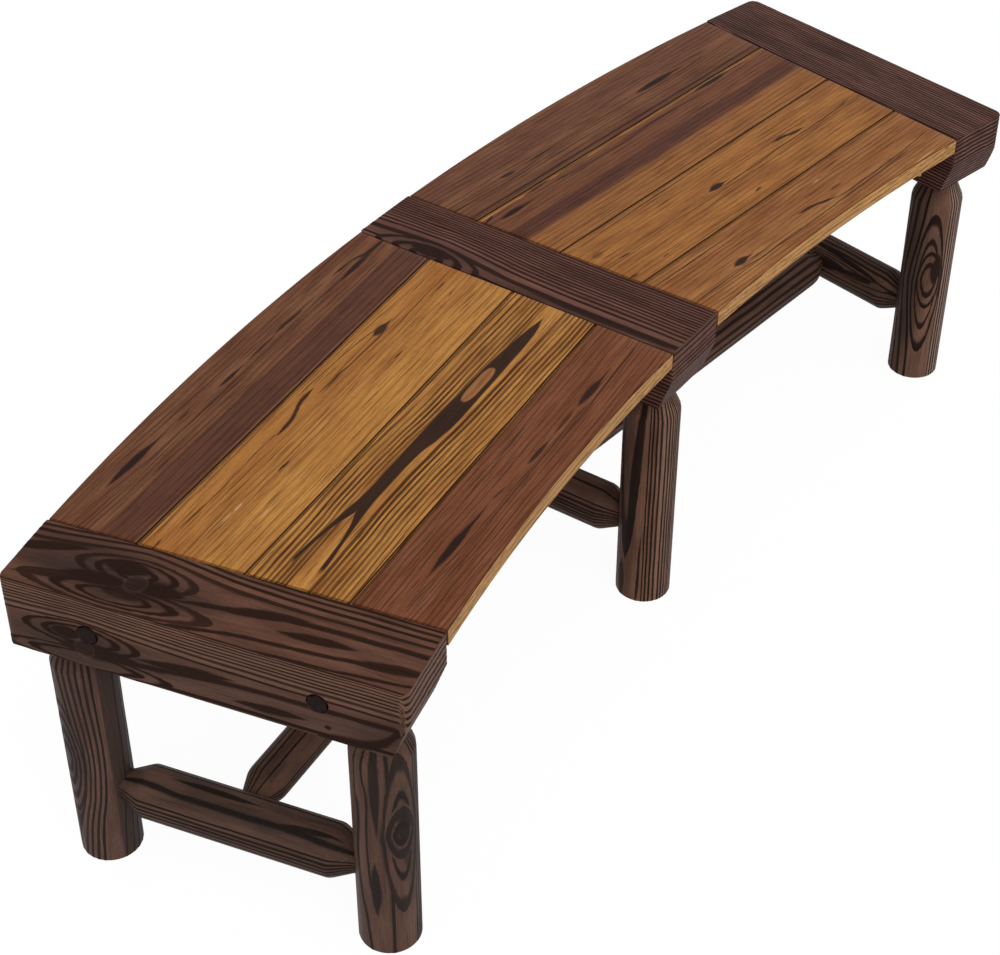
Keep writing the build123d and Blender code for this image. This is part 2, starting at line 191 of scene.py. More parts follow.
class Grain:
    """A point in the solid wood: along the grain, and two ways across it, in millimetres."""

    def __init__(self, along, side, depth):
        self.tree, self.side, self.depth = along.tree, side, depth
        self.spot = new_step(self.tree, "ShaderNodeCombineXYZ", along, side, depth)

    def cloud(self, length, width, seed, detail=2.0):
        """Drifting change in the wood, from -1 to 1, drawn out along the grain."""
        scale = (1 / length, 1 / width, 1 / width)
        spot = self.spot.on_points("MULTIPLY_ADD", scale, (seed, 0.37 * seed, 0.0))
        values = {"Vector": spot, "Scale": 1.0, "Detail": detail}
        return new_step(self.tree, "ShaderNodeTexNoise", named=values).scaled(2.0, -1.0)


def open_socket(tree, name, way="INPUT", kind="NodeSocketFloat"):
    """Gives a tree one more input or output."""
    tree.interface.new_socket(name, in_out=way, socket_type=kind)


def shared(draw, *values):
    """What a small group of nodes gives, drawn once for materials and once for meshes."""
    tree = values[0].tree
    in_mesh = tree.type == "GEOMETRY"
    title = draw.__name__ + (" in a mesh" if in_mesh else "")
    group = bpy.data.node_groups.get(title)
    if group is None:
        group = bpy.data.node_groups.new(title, tree.bl_idname)
        for name in inspect.signature(draw).parameters:
            open_socket(group, name)
        open_socket(group, "result", "OUTPUT")
        entry = group.nodes.new("NodeGroupInput")
        drawn = draw(*[Reading(group, entry.outputs[number]) for number in range(len(values))])
        feed(group, group.nodes.new("NodeGroupOutput").inputs[0], drawn)
    kind = "GeometryNodeGroup" if in_mesh else "ShaderNodeGroup"
    return new_step(tree, kind, *values, node_tree=group)


def draw_lens(along, across, at_along, at_across, length, width, tilt, low, high):
    """A long leaf shape with pointed ends, one inside it and nought outside."""
    run = along - at_along
    off = abs((across - at_across - run * tilt) / width)
    run = run / length
    return (off + run * run).fall(low, high)


def lens_shape(along, across, lens, low, high):
    """One lens, as dark as its last number says."""
    return shared(draw_lens, along, across, *lens[:-1], low, high) * lens[-1]


def draw_stroke(along, away, start, end, breadth):
    """A line of one breadth that thins out at both its ends."""
    taper = along.rise(start, start + STROKE_TIP) * along.fall(end - STROKE_TIP, end)
    half = breadth * 0.5 * taper.scaled(0.9, 0.1)
    return away.fall(half * 0.5, half * 1.25) * taper.rise(0.0, 0.1)


def stroke_shape(along, across, stroke):
    """One line through its points, as dark as its last number says."""
    points, breadth, depth = stroke
    away = abs(across - along.read_off(points))
    return shared(draw_stroke, along, away, points[0][0], points[-1][0], breadth) * depth


def draw_knot(along, across, at_along, at_across, length, width, above, below):
    """How far a knot pushes the rings that pass above it and below it."""
    far = abs((along - at_along) / length).power(1.5)
    off = (across - at_across) / width
    square = off * off
    spill = (far * -1.1 - square * 0.22).worked("EXPONENT")
    lean = off / (square + 0.3).worked("SQRT")
    return (lean.at_least(0.0) * above + lean.at_most(0.0) * below) * spill


def draw_loops(along, across, at_along, at_across, length, width):
    """How far out a point lies among rings that close in long loops; one on the last of them."""
    run = abs((along - at_along) / length).power(1.5)
    off = (across - at_across) / width
    return off.scaled(off, run)


def frame_axes(turn, station=0.0, height=0.0):
    """The turn and shift that lead from the bench to a frame's or a bay's own millimetres."""
    across = math.sin(turn) * ARC_CENTRE_Y
    ahead = -math.cos(turn) * ARC_CENTRE_Y - FRONT_RADIUS - station
    return turn, (across, ahead, -height)


def own_axes(tree, place):
    """Millimetres along a piece's own axes, for a material or for its mesh."""
    turn, shift = place
    if tree.type == "SHADER":
        bench = new_step(tree, "ShaderNodeTexCoord", out="Object")
    else:
        bench = new_step(tree, "GeometryNodeInputPosition")
    values = {"Vector": bench, "Angle": turn}
    turned = new_step(tree, "ShaderNodeVectorRotate", named=values, rotation_type="Z_AXIS")
    return turned.on_points("MULTIPLY_ADD", (1 / MM, 1 / MM, 1 / MM), shift).parts()


def compass(turn):
    """The directions of a turned piece's own axes, in the bench."""
    across = Vector((math.cos(turn), -math.sin(turn), 0))
    return {"X": across, "Y": Vector((-across.y, across.x, 0)), "Z": Vector((0, 0, 1))}


def facing(tree, direction):
    """How squarely the surface faces a direction of the bench, from -1 to 1."""
    if tree.type == "SHADER":
        normal = new_step(tree, "ShaderNodeNewGeometry", out="Normal")
    else:
        normal = new_step(tree, "GeometryNodeInputNormal")
    return normal.on_points("DOT_PRODUCT", direction, out="Value")


def log_grain(tree, axis, place):
    """Along, and round in degrees, of a log on its own X, Y or Z axis; with its solid grain."""
    x, y, z = own_axes(tree, place)
    along, side, depth = {"X": (x, y, z), "Y": (y, x, z), "Z": (z, x, y)}[axis]
    turned = (depth * -1.0).worked("ARCTAN2", side * -1.0) * (180 / math.pi)
    round_the_log = turned - 180.0 if axis == "Z" else turned + 180.0
    return along, round_the_log, Grain(along, side, depth)


def late_wood(along, across, grain, rings):
    """How dark the year rings make the wood at a point, from 0 to 1, with any knots."""
    seed = rings["seed"]
    reach, spread = rings.get("wander_reach", (150.0, 45.0))
    across = across + grain.cloud(reach, spread, seed, 1.5) * rings["wander"]
    across = across + grain.cloud(30.0, 7.0, seed + 5.0) * rings.get("ripple", 0.9)
    free = across
    if "bend" in rings:
        across = across - along.read_off(rings["bend"])
    for knot in rings.get("knots", ()):
        across = across - shared(draw_knot, along, free, *knot)
    count = across.lined(rings["lines"], rings["breadth"], rings["pitch"])
    free = free + grain.cloud(24.0, 2.4, seed + 47.0) * 1.7
    for *loops, lines in rings.get("loops", ()):
        out = shared(draw_loops, along, free, *loops)
        count = count + (out.lined(lines, 0.1) - count) * out.worked("LESS_THAN", 1.0)
    year = {"W": count.worked("FLOOR") + seed}
    strength = new_step(
        count.tree, "ShaderNodeTexWhiteNoise", named=year, out="Value", noise_dimensions="1D"
    )
    start = grain.cloud(70.0, 9.0, seed + 7.0) * 0.12 + strength * 0.12 + 0.42
    part = count.worked("FRACT")
    dark = part.rise(start, start + 0.22).at_least(part.fall(0.02, 0.12))
    dark = dark * strength.scaled(0.16, 0.86)
    for lens in rings.get("lenses", ()):
        dark = dark.at_least(lens_shape(along, free, lens, 0.66, 1.12))
    for stroke in rings.get("strokes", ()):
        dark = dark.at_least(stroke_shape(along, free, stroke))
    return dark


def mixed(amount, first, second):
    """A blend of two colours, each a reading or three steps of the stain chart."""
    first, second = [c if isinstance(c, Reading) else stain(*c) for c in (first, second)]
    values = {0: amount, 6: first, 7: second}
    return new_step(amount.tree, "ShaderNodeMix", named=values, out=2, data_type="RGBA")


def finish_wood(tree, grain, dark, seed, colours, satin, tints=(), hair=0.3, last=()):
    """Joins the figure, the slow change of colour, the tints and the fibres in a material."""
    light, deep, late = colours
    colour = mixed(grain.cloud(120.0, 22.0, seed + 11.0, 3.0).rise(-0.4, 0.4), light, deep)
    for amount, tint in tints:
        colour = mixed(amount, colour, tint)
    hairs = grain.cloud(85.0, 1.7, seed + 13.0).rise(0.08, 0.5) * hair
    threads = grain.cloud(190.0, 3.6, seed + 37.0).rise(0.22, 0.6) * (hair * 1.4)
    dashes = grain.cloud(75.0, 1.25, seed + 43.0).rise(0.05, 0.4) * (hair * 1.25)
    colour = mixed(hairs.at_least(threads).at_least(dashes), colour, late)
    colour = mixed(dark * 0.98, colour, late)
    flecks = grain.cloud(7.0, 2.2, seed + 19.0, 3.0)
    fibres = grain.cloud(26.0, 0.8, seed + 17.0)
    values = {"Value": fibres * 0.25 + flecks * 0.2 + 1.0, "Color": colour}
    colour = new_step(tree, "ShaderNodeHueSaturation", named=values)
    for amount, tint in last:
        colour = mixed(amount, colour, tint)
    bump = {"Strength": 0.35, "Distance": 0.25 * MM, "Height": fibres}
    feed_all(tree, tree.nodes["Principled BSDF"], {
        "Base Color": colour, "Roughness": fibres * 0.06 + dark * satin[1] + satin[0],
        "Specular IOR Level": 0.03, "Normal": new_step(tree, "ShaderNodeBump", named=bump),
    })


def new_material(name):
    """An empty material and its tree."""
    material = bpy.data.materials.new(name)
    material.use_nodes = True
    return material, material.node_tree


def sawn_end(grain, dark, seed, sawn, heart, year):
    """Turns the lines into year rings round the heart where the wood is sawn across."""
    out = (grain.side - heart[0]).power(2.0) + (grain.depth - heart[1]).power(2.0)
    drift = grain.cloud(400.0, 30.0, seed + 3.0) * 0.5
    ring = (out.worked("SQRT") / year + drift).worked("FRACT").rise(0.4, 0.98) * 0.8
    return dark + (ring - dark) * sawn


def banded(across, rings):
    """The tints of the bands along the grain."""
    tints = []
    for low, high, soft, tint, depth in rings.get("bands", ()):
        band = across.rise(low - soft, low + soft) * across.fall(high - soft, high + soft)
        tints.append((band * depth, tint))
    return tints


def smoked(along, across, grain, rings, smoke, low, depth):
    """The tints of a stained piece: drifting smoke, its bands, and its soft smoky places."""
    greyed = grain.cloud(110.0, 24.0, rings["seed"] + 53.0, 3.0).rise(low, 0.6) * depth
    shades = [lens_shape(along, across, shade, 0.0, 1.2) for shade in rings.get("shades", ())]
    return [(greyed, smoke), *banded(across, rings), *[(shade, smoke) for shade in shades]]


def log_wood(name, axis, place, rings):
    """Brushed and stained wood round a log, with year rings on its sawn ends."""
    material, tree = new_material(name)
    along, across, grain = log_grain(tree, axis, place)
    dark = late_wood(along, across, grain, rings)
    sawn = abs(facing(tree, compass(place[0])[axis])).rise(0.9, 0.95)
    dark = sawn_end(grain, dark, rings["seed"], sawn, LOG_HEART, LOG_YEAR)
    tints = smoked(along, across, grain, rings, LOG_SMOKE, 0.02, 0.5)
    colours = rings.get("colours", LOG_COLOURS)
    finish_wood(tree, grain, dark, rings["seed"], colours, LOG_SATIN, tints)
    return material


def geometry_tree(name, sizes=()):
    """A Geometry Nodes tree with named length inputs in millimetres, and its inputs."""
    tree = bpy.data.node_groups.new(name, "GeometryNodeTree")
    open_socket(tree, "Geometry", kind="NodeSocketGeometry")
    for size in sizes:
        open_socket(tree, size)
    open_socket(tree, "Geometry", "OUTPUT", "NodeSocketGeometry")
    entry = tree.nodes.new("NodeGroupInput")
    return tree, {name: Reading(tree, entry.outputs[name]) for name in ("Geometry", *sizes)}


def brushed(geometry, dark, depth, material):
    """Ends a tree with the soft early wood sunk below the hard late wood, and its material."""
    tree = geometry.tree
    sunk = {"Scale": (dark - 1.0) * (depth * MM)}
    push = new_step(tree, "GeometryNodeInputNormal").on_points("SCALE", named=sunk)
    moved = new_step(tree, "GeometryNodeSetPosition", geometry, named={"Offset": push})
    real = new_step(tree, "GeometryNodeRealizeInstances", moved)
    dressed = new_step(tree, "GeometryNodeSetMaterial", real, named={"Material": material})
    feed(tree, tree.nodes.new("NodeGroupOutput").inputs[0], dressed)


def made_with(tree, name, sizes, crease, mesh=None):
    """An object with the tree's result as its plain mesh, shaded smooth between its creases."""
    piece = bpy.data.objects.new(name, mesh or bpy.data.meshes.new(name))
    bpy.context.scene.collection.objects.link(piece)
    modifier = piece.modifiers.new("shape", "NODES")
    modifier.node_group = tree
    for item in tree.interface.items_tree:
        if item.in_out == "INPUT" and item.name in sizes:
            modifier[item.identifier] = float(sizes[item.name])
    graph = bpy.context.evaluated_depsgraph_get()
    graph.update()
    made = bpy.data.meshes.new_from_object(piece.evaluated_get(graph))
    piece.modifiers.clear()
    piece.data = made
    made.name = name
    made.shade_smooth()
    made.set_sharp_from_angle(angle=math.radians(crease))
    return piece


def turned_log(name, sizes, axis, place, rings, material, mortises=()):
    """A log turned by rule: a straight body, a cone at one or both ends, and tenons."""
    tree, given = geometry_tree("turned " + name, sizes)
    fine = 2
    values = {
        "Vertices": 72 * fine, "Side Segments": 60 * fine, "Fill Segments": 4,
        "Radius": 1.0, "Depth": 2.0,
    }
    blank = new_step(tree, "GeometryNodeMeshCylinder", named=values, fill_type="TRIANGLE_FAN")
    x, y, z = new_step(tree, "GeometryNodeInputPosition").parts()
    gathered = z - (z * math.pi).worked("SINE") * (-0.55 / math.pi)
    along = (gathered + 1.0) * 0.5 * given["Length"]
    back = given["Length"] - along
    body = given["Body Diameter"] / 2.0
    tenon = given["Tenon Diameter"] / 2.0
    steep = body - tenon
    softness = given["Shoulder Round"]
    first = tenon + (along - given["First Tenon"]) * steep / given["First Cone"]
    last = tenon + (back - given["Last Tenon"]) * steep / given["Last Cone"]
    cones = first.worked("SMOOTH_MIN", last, softness)
    radius = cones.worked("SMOOTH_MIN", body, softness).at_least(tenon)
    radius = radius - (given["End Ease"] - along.at_most(back)).at_least(0.0)
    spot = (x * radius * MM, y * radius * MM, along * MM)
    spot = new_step(tree, "ShaderNodeCombineXYZ", *spot)
    moved = new_step(tree, "GeometryNodeSetPosition", blank, named={"Position": spot})
    tip = {"Z": (0, 0, 0), "Y": (-math.pi / 2, 0, 0), "X": (0, math.pi / 2, 0)}[axis]
    laid = new_step(tree, "GeometryNodeTransform", moved, named={"Rotation": tip})
    turn, shift = place
    there = Matrix.Rotation(-turn, 3, "Z") @ (Vector(shift) * -MM)
    values = {"Translation": there, "Rotation": (0, 0, -turn)}
    geometry = new_step(tree, "GeometryNodeTransform", laid, named=values)
    for mortise in mortises:
        wide = mortise["diameter"] / 2 * MM
        values = {"Vertices": 48, "Radius": wide, "Depth": 2 * mortise["depth"] * MM}
        cutter = new_step(tree, "GeometryNodeMeshCylinder", named=values)
        values = {"Translation": mortise["mouth"], "Rotation": mortise["aim"]}
        cutter = new_step(tree, "GeometryNodeTransform", cutter, named=values)
        cut = {"operation": "DIFFERENCE", "solver": "MANIFOLD"}
        geometry = new_step(tree, "GeometryNodeMeshBoolean", geometry, cutter, **cut)
    dark = late_wood(*log_grain(tree, axis, place), rings)
    brushed(geometry, dark, BRUSHED_DEPTH, material)
    return made_with(tree, name, sizes, LOG_CREASE)


def bench_point(turn, across, ahead, height):
    """A point of a frame's own millimetres, in the bench's metres."""
    reach = FRONT_RADIUS + ahead
    x = math.sin(turn) * reach + math.cos(turn) * across
    y = math.cos(turn) * reach - math.sin(turn) * across + ARC_CENTRE_Y
    return (x * MM, y * MM, height * MM)


# A figure is placed along the wood in millimetres, and across it, or round a log in degrees. A
# lens has a middle, a half length, a half width, a tilt and a depth; a knot and a loop a middle
# and half sizes; a stroke its points, breadth and depth; a band its edges, softness, colour and
# depth. A line of the year rings may have a breadth of its own.
LEG_RINGS = {}
LEG_RINGS["left", "front"] = dict(
    seed=3, wander=3, breadth=7, pitch=13, lines=[-248, -236, (-150, 9), -100, -90, -81, -72],
    knots=[(200, -150, 110, 50, 10, 31)],
    loops=[
        (200, -126, 130, 35, [(0.34, 0.14), (0.84, 0.32)]),
        (205, -126, 47, 31, [(0.1, 0.34), (0.6, 0.44)]),
    ],
    lenses=[
        (216, -120, 30, 16, 0.1, 0.9), (160, -118, 16, 7, 0, 0.5), (20, -78, 60, 20, 0, 0.6),
        (112, -176, 50, 11, -0.02, 0.95), (292, -171, 96, 11, 0, 0.92),
    ],
    strokes=[
        ([(100, -184), (150, -189), (200, -190), (260, -187), (300, -194), (350, -190)], 6, 0.95),
        ([(-20, -188), (60, -198), (110, -210), (160, -213), (230, -207), (275, -217)], 9, 0.95),
        ([(250, -214), (300, -212), (350, -214)], 6, 0.9),
    ],
    shades=[(205, -112, 120, 50, 0, 0.5), (10, -75, 70, 40, 0, 0.6)],
    colours=((104, 77, 65), (84, 62, 53), (37, 32, 31)),
)
LEG_RINGS["left", "back"] = dict(
    seed=8, wander=3, breadth=7, pitch=14,
    lines=[-236, -222, -209, -195, -181, -168, -154, -142, (-96, 3), (-78, 3)],
    bend=[(0, -27), (60, -20), (130, -6), (200, 0), (330, 1)], knots=[(170, -213, 105, 24, 50, 20)],
    loops=[(170, -214, 95, 42, [(0.08, 0.12), (0.28, 0.15), (0.56, 0.18), (0.9, 0.2)])],
    bands=[(-126, -40, 2, (58, 48, 44), 0.8)], colours=((102, 76, 66), (82, 61, 53), (38, 33, 32)),
    shades=[(175, -205, 90, 50, 0, 0.5)],
)
LEG_RINGS["middle", "front"] = dict(
    seed=5, wander=1.8, breadth=5, pitch=9, colours=((122, 88, 72), (100, 69, 56), (26, 17, 15)),
    bands=[(-130, -30, 12, (142, 112, 96), 0.6)],
    lines=[(-232, 5), -153.3, -146, -138, -129, -118, -109.7, -102, -95.5, -90, -83, -76, -69],
    loops=[(272, -194, 196, 29, [(0.7, 0.62)])],
    lenses=[
        (232, -177, 172, 12, 0.1, 0.95), (108, -193, 42, 11, 0.04, 0.95), (40, -162, 90, 3.4, 0.04, 0.9),
        (30, -205, 40, 12, 0, 0.8),
    ],
    shades=[(240, -206, 200, 34, 0, 0.6)],
)
LEG_RINGS["middle", "back"] = dict(
    seed=14, wander=4, breadth=7, pitch=12, lines=[-200, -184, -168, -150, -126, -114, -103],
)
LEG_RINGS["right", "front"] = dict(
    seed=9, wander=2.5, breadth=5.2, pitch=9, colours=((118, 87, 72), (96, 69, 57), (28, 19, 17)),
    bands=[(-108, -30, 5, (152, 126, 112), 0.7)],
    lines=[(-232, 8), (-218, 8), (-202, 9.5), (-182, 9), (-162, 8), -107, -99, -91, -82, -74, -66],
    knots=[(180, -140, 105, 45, 0, 38)],
    loops=[
        (178, -141, 126, 35, [(0.45, 0.13), (0.86, 0.32)]),
        (186, -138, 52, 27, [(0.34, 0.26), (0.84, 0.3)]),
    ],
    lenses=[(206, -124, 30, 14, 0.1, 0.9), (166, -112, 14, 5, 0, 0.6)],
    shades=[(190, -190, 220, 60, 0, 0.6)],
)
LEG_RINGS["right", "back"] = dict(
    seed=21, wander=4, breadth=7, pitch=12, lines=[-212, -198, -184, -168, -112, -98, -86],
    loops=[(150, -140, 110, 26, [(0.3, 0.2), (0.84, 0.3)])],
)
LEG_SIZES = {
    "Length": LEG_LENGTH, "Body Diameter": LEG_DIAMETER, "Tenon Diameter": LEG_TENON,
    "First Cone": 1.0, "First Tenon": -100.0, "Last Cone": BEAM_UNDERSIDE - LEG_SHOULDER,
    "Last Tenon": LEG_LENGTH - BEAM_UNDERSIDE, "Shoulder Round": 3.0, "End Ease": FOOT_EASE,
}
for (side, end), rings in LEG_RINGS.items():
    turn = FRAME_TURN[side]
    place = frame_axes(turn, LEG_STATION[end])
    name = f"leg_{side}_{end}"
    material = log_wood(f"brushed log {side} {end}", "Z", place, rings)
    inward = 1 if end == "front" else -1
    mouth = bench_point(turn, 0, LEG_STATION[end] + inward * LEG_DIAMETER / 2, STRETCHER_HEIGHT)
    mortise = {**LEG_MORTISE, "mouth": mouth, "aim": (math.pi / 2, 0, -turn)}
    leg = turned_log("turned_" + name, LEG_SIZES, "Z", place, rings, material, [mortise])
    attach(leg, "root")
    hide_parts(name)


# Cross stretchers. A thinner log lies between the two legs of each frame, coned at both ends
# into round tenons that are glued into the legs a hand's breadth above the floor.
CROSS_DIAMETER = 67.5
CROSS_REACH = 50.0
LONG_TENON = 32.0
LONG_REACH = 26.0
LONG_MORTISE = {"diameter": LONG_TENON + 0.4, "depth": LONG_REACH + 0.2}
CROSS_RINGS = {}
CROSS_RINGS["left"] = dict(
    seed=4, wander=3, wander_reach=(190, 30), breadth=7.5, pitch=13,
    colours=((96, 72, 61), (76, 57, 49), (29, 23, 21)), lines=[40, (62, 8), 153, 165, 175, 186, 198, 212],
    strokes=[
        ([(20, 112), (70, 124), (130, 119), (190, 121), (260, 121), (330, 115), (370, 118)], 14, 0.95),
    ],
    shades=[(200, 118, 220, 20, 0, 0.5)], lenses=[(232, 88, 62, 9, 0, 0.95), (104, 109, 44, 7, 0.1, 0.9)],
)
CROSS_RINGS["middle"] = dict(
    seed=12, wander=4, breadth=7.5, pitch=13, lines=[48, (66, 7), 100, 140, 152, 162, 171, 180, 190, 204],
)
CROSS_RINGS["right"] = dict(
    seed=17, wander=5, wander_reach=(120, 30), breadth=9, pitch=13,
    lines=[60, 76, 90, 106, 122, 172, 188, 202], knots=[(170, 150, 120, 22, 14, 14)],
    loops=[(190, 150, 150, 20, [(0.12, 0.12), (0.42, 0.18), (0.84, 0.3)])],
    lenses=[(175, 152, 40, 10, 0, 0.9)],
    strokes=[
        ([(80, 142), (140, 152), (200, 168), (300, 176)], 13, 0.95),
        ([(80, 138), (140, 128), (220, 118), (330, 116)], 13, 0.95),
    ],
)
CROSS_TIP = LEG_STATION["front"] + LEG_DIAMETER / 2 - CROSS_REACH
RAIL_ENDS = {"First Cone": 28.0, "Last Cone": 28.0, "Shoulder Round": 3.0, "End Ease": 2.0}
CROSS_SIZES = {
    "Length": LEG_STATION["front"] + LEG_STATION["back"] - 2 * CROSS_TIP,
    "Body Diameter": CROSS_DIAMETER, "Tenon Diameter": LEG_TENON,
    "First Tenon": 48.0, "Last Tenon": 48.0, **RAIL_ENDS,
}
LONG_RISE = 3.0
LONG_STATION = {"left": 251.0, "middle": 242.5, "right": 251.0}
LONG_RUNS = {"left": ("left", "middle"), "right": ("middle", "right")}


def long_ends(bay):
    """The two axis points that a long stretcher runs between, in the bench's metres."""
    height = STRETCHER_HEIGHT + LONG_RISE
    return [
        Vector(bench_point(FRAME_TURN[side], 0, LONG_STATION[side], height))
        for side in LONG_RUNS[bay]
    ]


def long_mortises(side):
    """The mortises of a cross stretcher, aimed along the stretchers that enter it."""
    mortises = []
    for bay, run in LONG_RUNS.items():
        if side in run:
            start, end = long_ends(bay)
            near, far = (start, end) if run[0] == side else (end, start)
            heading = (far - near).normalized()
            mouth = near + heading * (CROSS_DIAMETER / 2 * MM)
            aim = (0, math.pi / 2, math.atan2(heading.y, heading.x))
            mortises.append({**LONG_MORTISE, "mouth": mouth, "aim": aim})
    return mortises


for side, rings in CROSS_RINGS.items():
    place = frame_axes(FRAME_TURN[side], CROSS_TIP, STRETCHER_HEIGHT)
    name = "cross_stretcher_" + side
    material = log_wood("brushed rail " + side, "Y", place, rings)
    mortises = long_mortises(side)
    rail = turned_log("turned_" + name, CROSS_SIZES, "Y", place, rings, material, mortises)
    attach(rail, "root")
    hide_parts(name)


# Long stretchers. Two logs a little thinner again tie the three frames together. Their coned
# ends are turned down to round tenons that sit in the sides of the cross stretchers.
LONG_DIAMETER = 54.0
LONG_RINGS = {}
LONG_RINGS["left"] = dict(
    seed=6, wander=5, wander_reach=(240, 30), breadth=7, pitch=14,
    lines=[52, 66, 84, 112, 166, 177, 189, 204],
)
LONG_RINGS["right"] = dict(
    seed=15, wander=10, wander_reach=(210, 34), breadth=12, pitch=20,
    lines=[-36, -14, 8, 30, 52, 74, 96, 120, 148, 172, 196],
    lenses=[(150, 150, 80, 7, 0, 0.9), (330, 120, 90, 8, 0, 0.8)],
)
for bay, rings in LONG_RINGS.items():
    start, end = long_ends(bay)
    run = end - start
    heading = math.atan2(run.y, run.x)
    near_end = CROSS_DIAMETER / 2 - LONG_REACH
    corner = start / MM + run.normalized() * near_end
    place = (-heading, tuple(-(Matrix.Rotation(-heading, 3, "Z") @ corner)))
    sizes = {
        "Length": run.length / MM - 2 * near_end, "Body Diameter": LONG_DIAMETER,
        "Tenon Diameter": LONG_TENON, "First Tenon": 24.0, "Last Tenon": 24.0, **RAIL_ENDS,
    }
    name = "long_stretcher_" + bay
    material = log_wood("brushed tie " + bay, "X", place, rings)
    tie = turned_log("turned_" + name, sizes, "X", place, rings, material)
    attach(tie, "root")
    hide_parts(name)


# Beams. Each is a log sawn square, with its front end undercut, its corners rounded by hand and
# the same dark stain over wire brushed grain. It is driven down over the tenons of its legs and
# screwed to them from the side. The bolts of the seat ledgers pass through it.
SEAT_HEIGHT = 457.0
BEAM_HALF = 54.5
BEAM_HEART = (14.0, 118.0)
BEAM_YEAR = 5.4
BEAM_COLOURS = ((105, 71, 57), (85, 57, 46))
BEAM_SMOKE = (48, 38, 35)
BEAM_LATE = (34, 19, 13)
BEAM_SATIN = (0.46, 0.1)
BEAM_SLICES = {"Y": 9.0, "X": 1.6, "Z": 1.6}
BOARD_CREASE = 25.0
KNOT_RIM = (104, 78, 68)
# The colour of the lighter rounded edges of the beams: partly edge wear, partly a painted highlight.
WORN_EDGE = (128, 94, 78)
BEAM_RINGS = {}
BEAM_RINGS["left"] = dict(
    seed=2, wander=1.6, wander_reach=(110, 60), ripple=0.6, breadth=3.6, pitch=6,
    lines=[
        (-147, 7), (-95.5, 5), (-85.5, 4.4), (-78.3, 3.4), (-73.2, 2.8), (-68.2, 2.6), (-63, 2.3),
        (-58.5, 2.1), (-54.5, 2), (-51, 2.2), (21.7, 5.8), (33, 5.8), (42.5, 4.8), (50, 3.6),
    ],
    knots=[(355, 16, 95, 28, 30, 2), (392, -112, 85, 20, 17, 8)],
    strokes=[
        ([(-30, -17), (40, -22), (110, -30), (200, -35.5), (240, -42), (300, -53)], 7, 0.95),
        ([(-30, -34), (60, -44), (120, -48), (190, -51)], 5, 0.95),
        ([(-30, 9), (60, 8.5), (140, 7.5), (200, 3), (240, -4), (285, -9)], 9, 0.95),
        ([(-10, -107), (60, -108.5), (150, -109.5), (220, -113), (270, -119), (345, -128)], 9, 0.95),
        ([(-6, -100), (14, -116), (26, -131), (48, -143), (110, -150)], 17, 0.95),
        ([(280, -128), (320, -126), (370, -128)], 3, 0.8),
    ],
    loops=[
        (352, 10, 77, 25, [(0.12, 0.14), (0.44, 0.2), (0.86, 0.28)]),
        (358, -31, 122, 21.5, [(0.17, 0.12), (0.42, 0.2), (0.84, 0.32)]),
        (392, -106, 75, 20, [(0.4, 0.26), (0.84, 0.32)]),
        (390, -141, 110, 15, [(0.4, 0.26), (0.84, 0.32)]),
    ],
    lenses=[
        (122, -11, 52, 7, -0.05, 0.95), (196, 3, 62, 8.5, -0.16, 0.95), (262, -8.5, 46, 2.4, -0.1, 0.85),
        (470, 15, 56, 9, -0.25, 0.95), (28, -21, 56, 8, -0.1, 0.9), (318, -5, 36, 14, 0, 0.95),
        (366, 16, 34, 14, 0, 0.95), (392, -12, 46, 12, -0.1, 0.95), (350, -22, 34, 12, 0, 0.8),
        (430, -24, 60, 5, -0.2, 0.9), (162, -133, 48, 7, -0.05, 0.95), (262, -110, 66, 7.5, -0.09, 0.95),
        (352, -122, 50, 8, 0.1, 0.9), (410, -106, 22, 10, 0, 0.95), (372, -124, 56, 13, 0, 0.85),
        (93, -133, 4.5, 3.6, 0, 0.95),
    ],
    shades=[
        (372, -6, 160, 60, 0, 0.85), (395, -120, 120, 46, 0, 0.75), (10, -122, 80, 40, 0, 0.6),
        (440, 20, 120, 40, 0, 0.3),
    ],
    bands=[(-92, -53, 5, (126, 96, 82), 0.55), (-153, -98, 6, (86, 70, 63), 0.4)],
    faces=[(345, -4.5, 14), (389, -123.5, 13)],
)
BEAM_RINGS["middle"] = dict(
    seed=7, wander=1.4, wander_reach=(120, 60), ripple=0.6, breadth=3.9, pitch=6,
    bend=[(0, 0), (240, 3.5), (330, 8.5), (493, 11)],
    lines=[
        -70, -61, (-46, 9), (-30, 6), (-20.5, 5), (-13, 4.4), -6.5, -0.5, 5.6, 11.2, 16.2, 21.7, 26.7,
        32.3, (37.3, 3.4), 42.8, 48.3,
    ],
    knots=[(390, -50, 92, 30, 16, 0), (405, 16, 34, 10, 2, 4)],
    loops=[(384, -53, 84, 31, [(0.1, 0.14), (0.42, 0.22), (0.86, 0.28)])],
    shades=[(390, -42, 110, 34, 0, 0.7), (120, -50, 240, 18, 0, 0.6)],
    colours=((113, 76, 66), (93, 59, 50)),
    lenses=[(384, -42, 36, 13, 0, 0.95), (90, -46, 150, 6, 0, 0.85)],
)
BEAM_RINGS["right"] = dict(
    seed=10, wander=2.4, wander_reach=(130, 50), ripple=0.5, breadth=3.8, pitch=5.5,
    bend=[(0, 0), (130, 1), (250, -2), (493, 5)], lines=[5.4 * step for step in range(-11, 30)],
    shades=[(300, 8, 60, 12, 0, 0.35), (430, -30, 120, 26, 0, 0.4)],
    colours=((124, 86, 77), (99, 67, 59)), lenses=[(420, -36, 90, 8, 0, 0.4), (300, 12, 60, 7, 0.1, 0.4)],
)
FREE_SIDE = {"left": -1.0, "middle": -1.0, "right": 1.0}
FRONT_PACE = {"left": 0.5, "middle": 0.95, "right": 0.8}


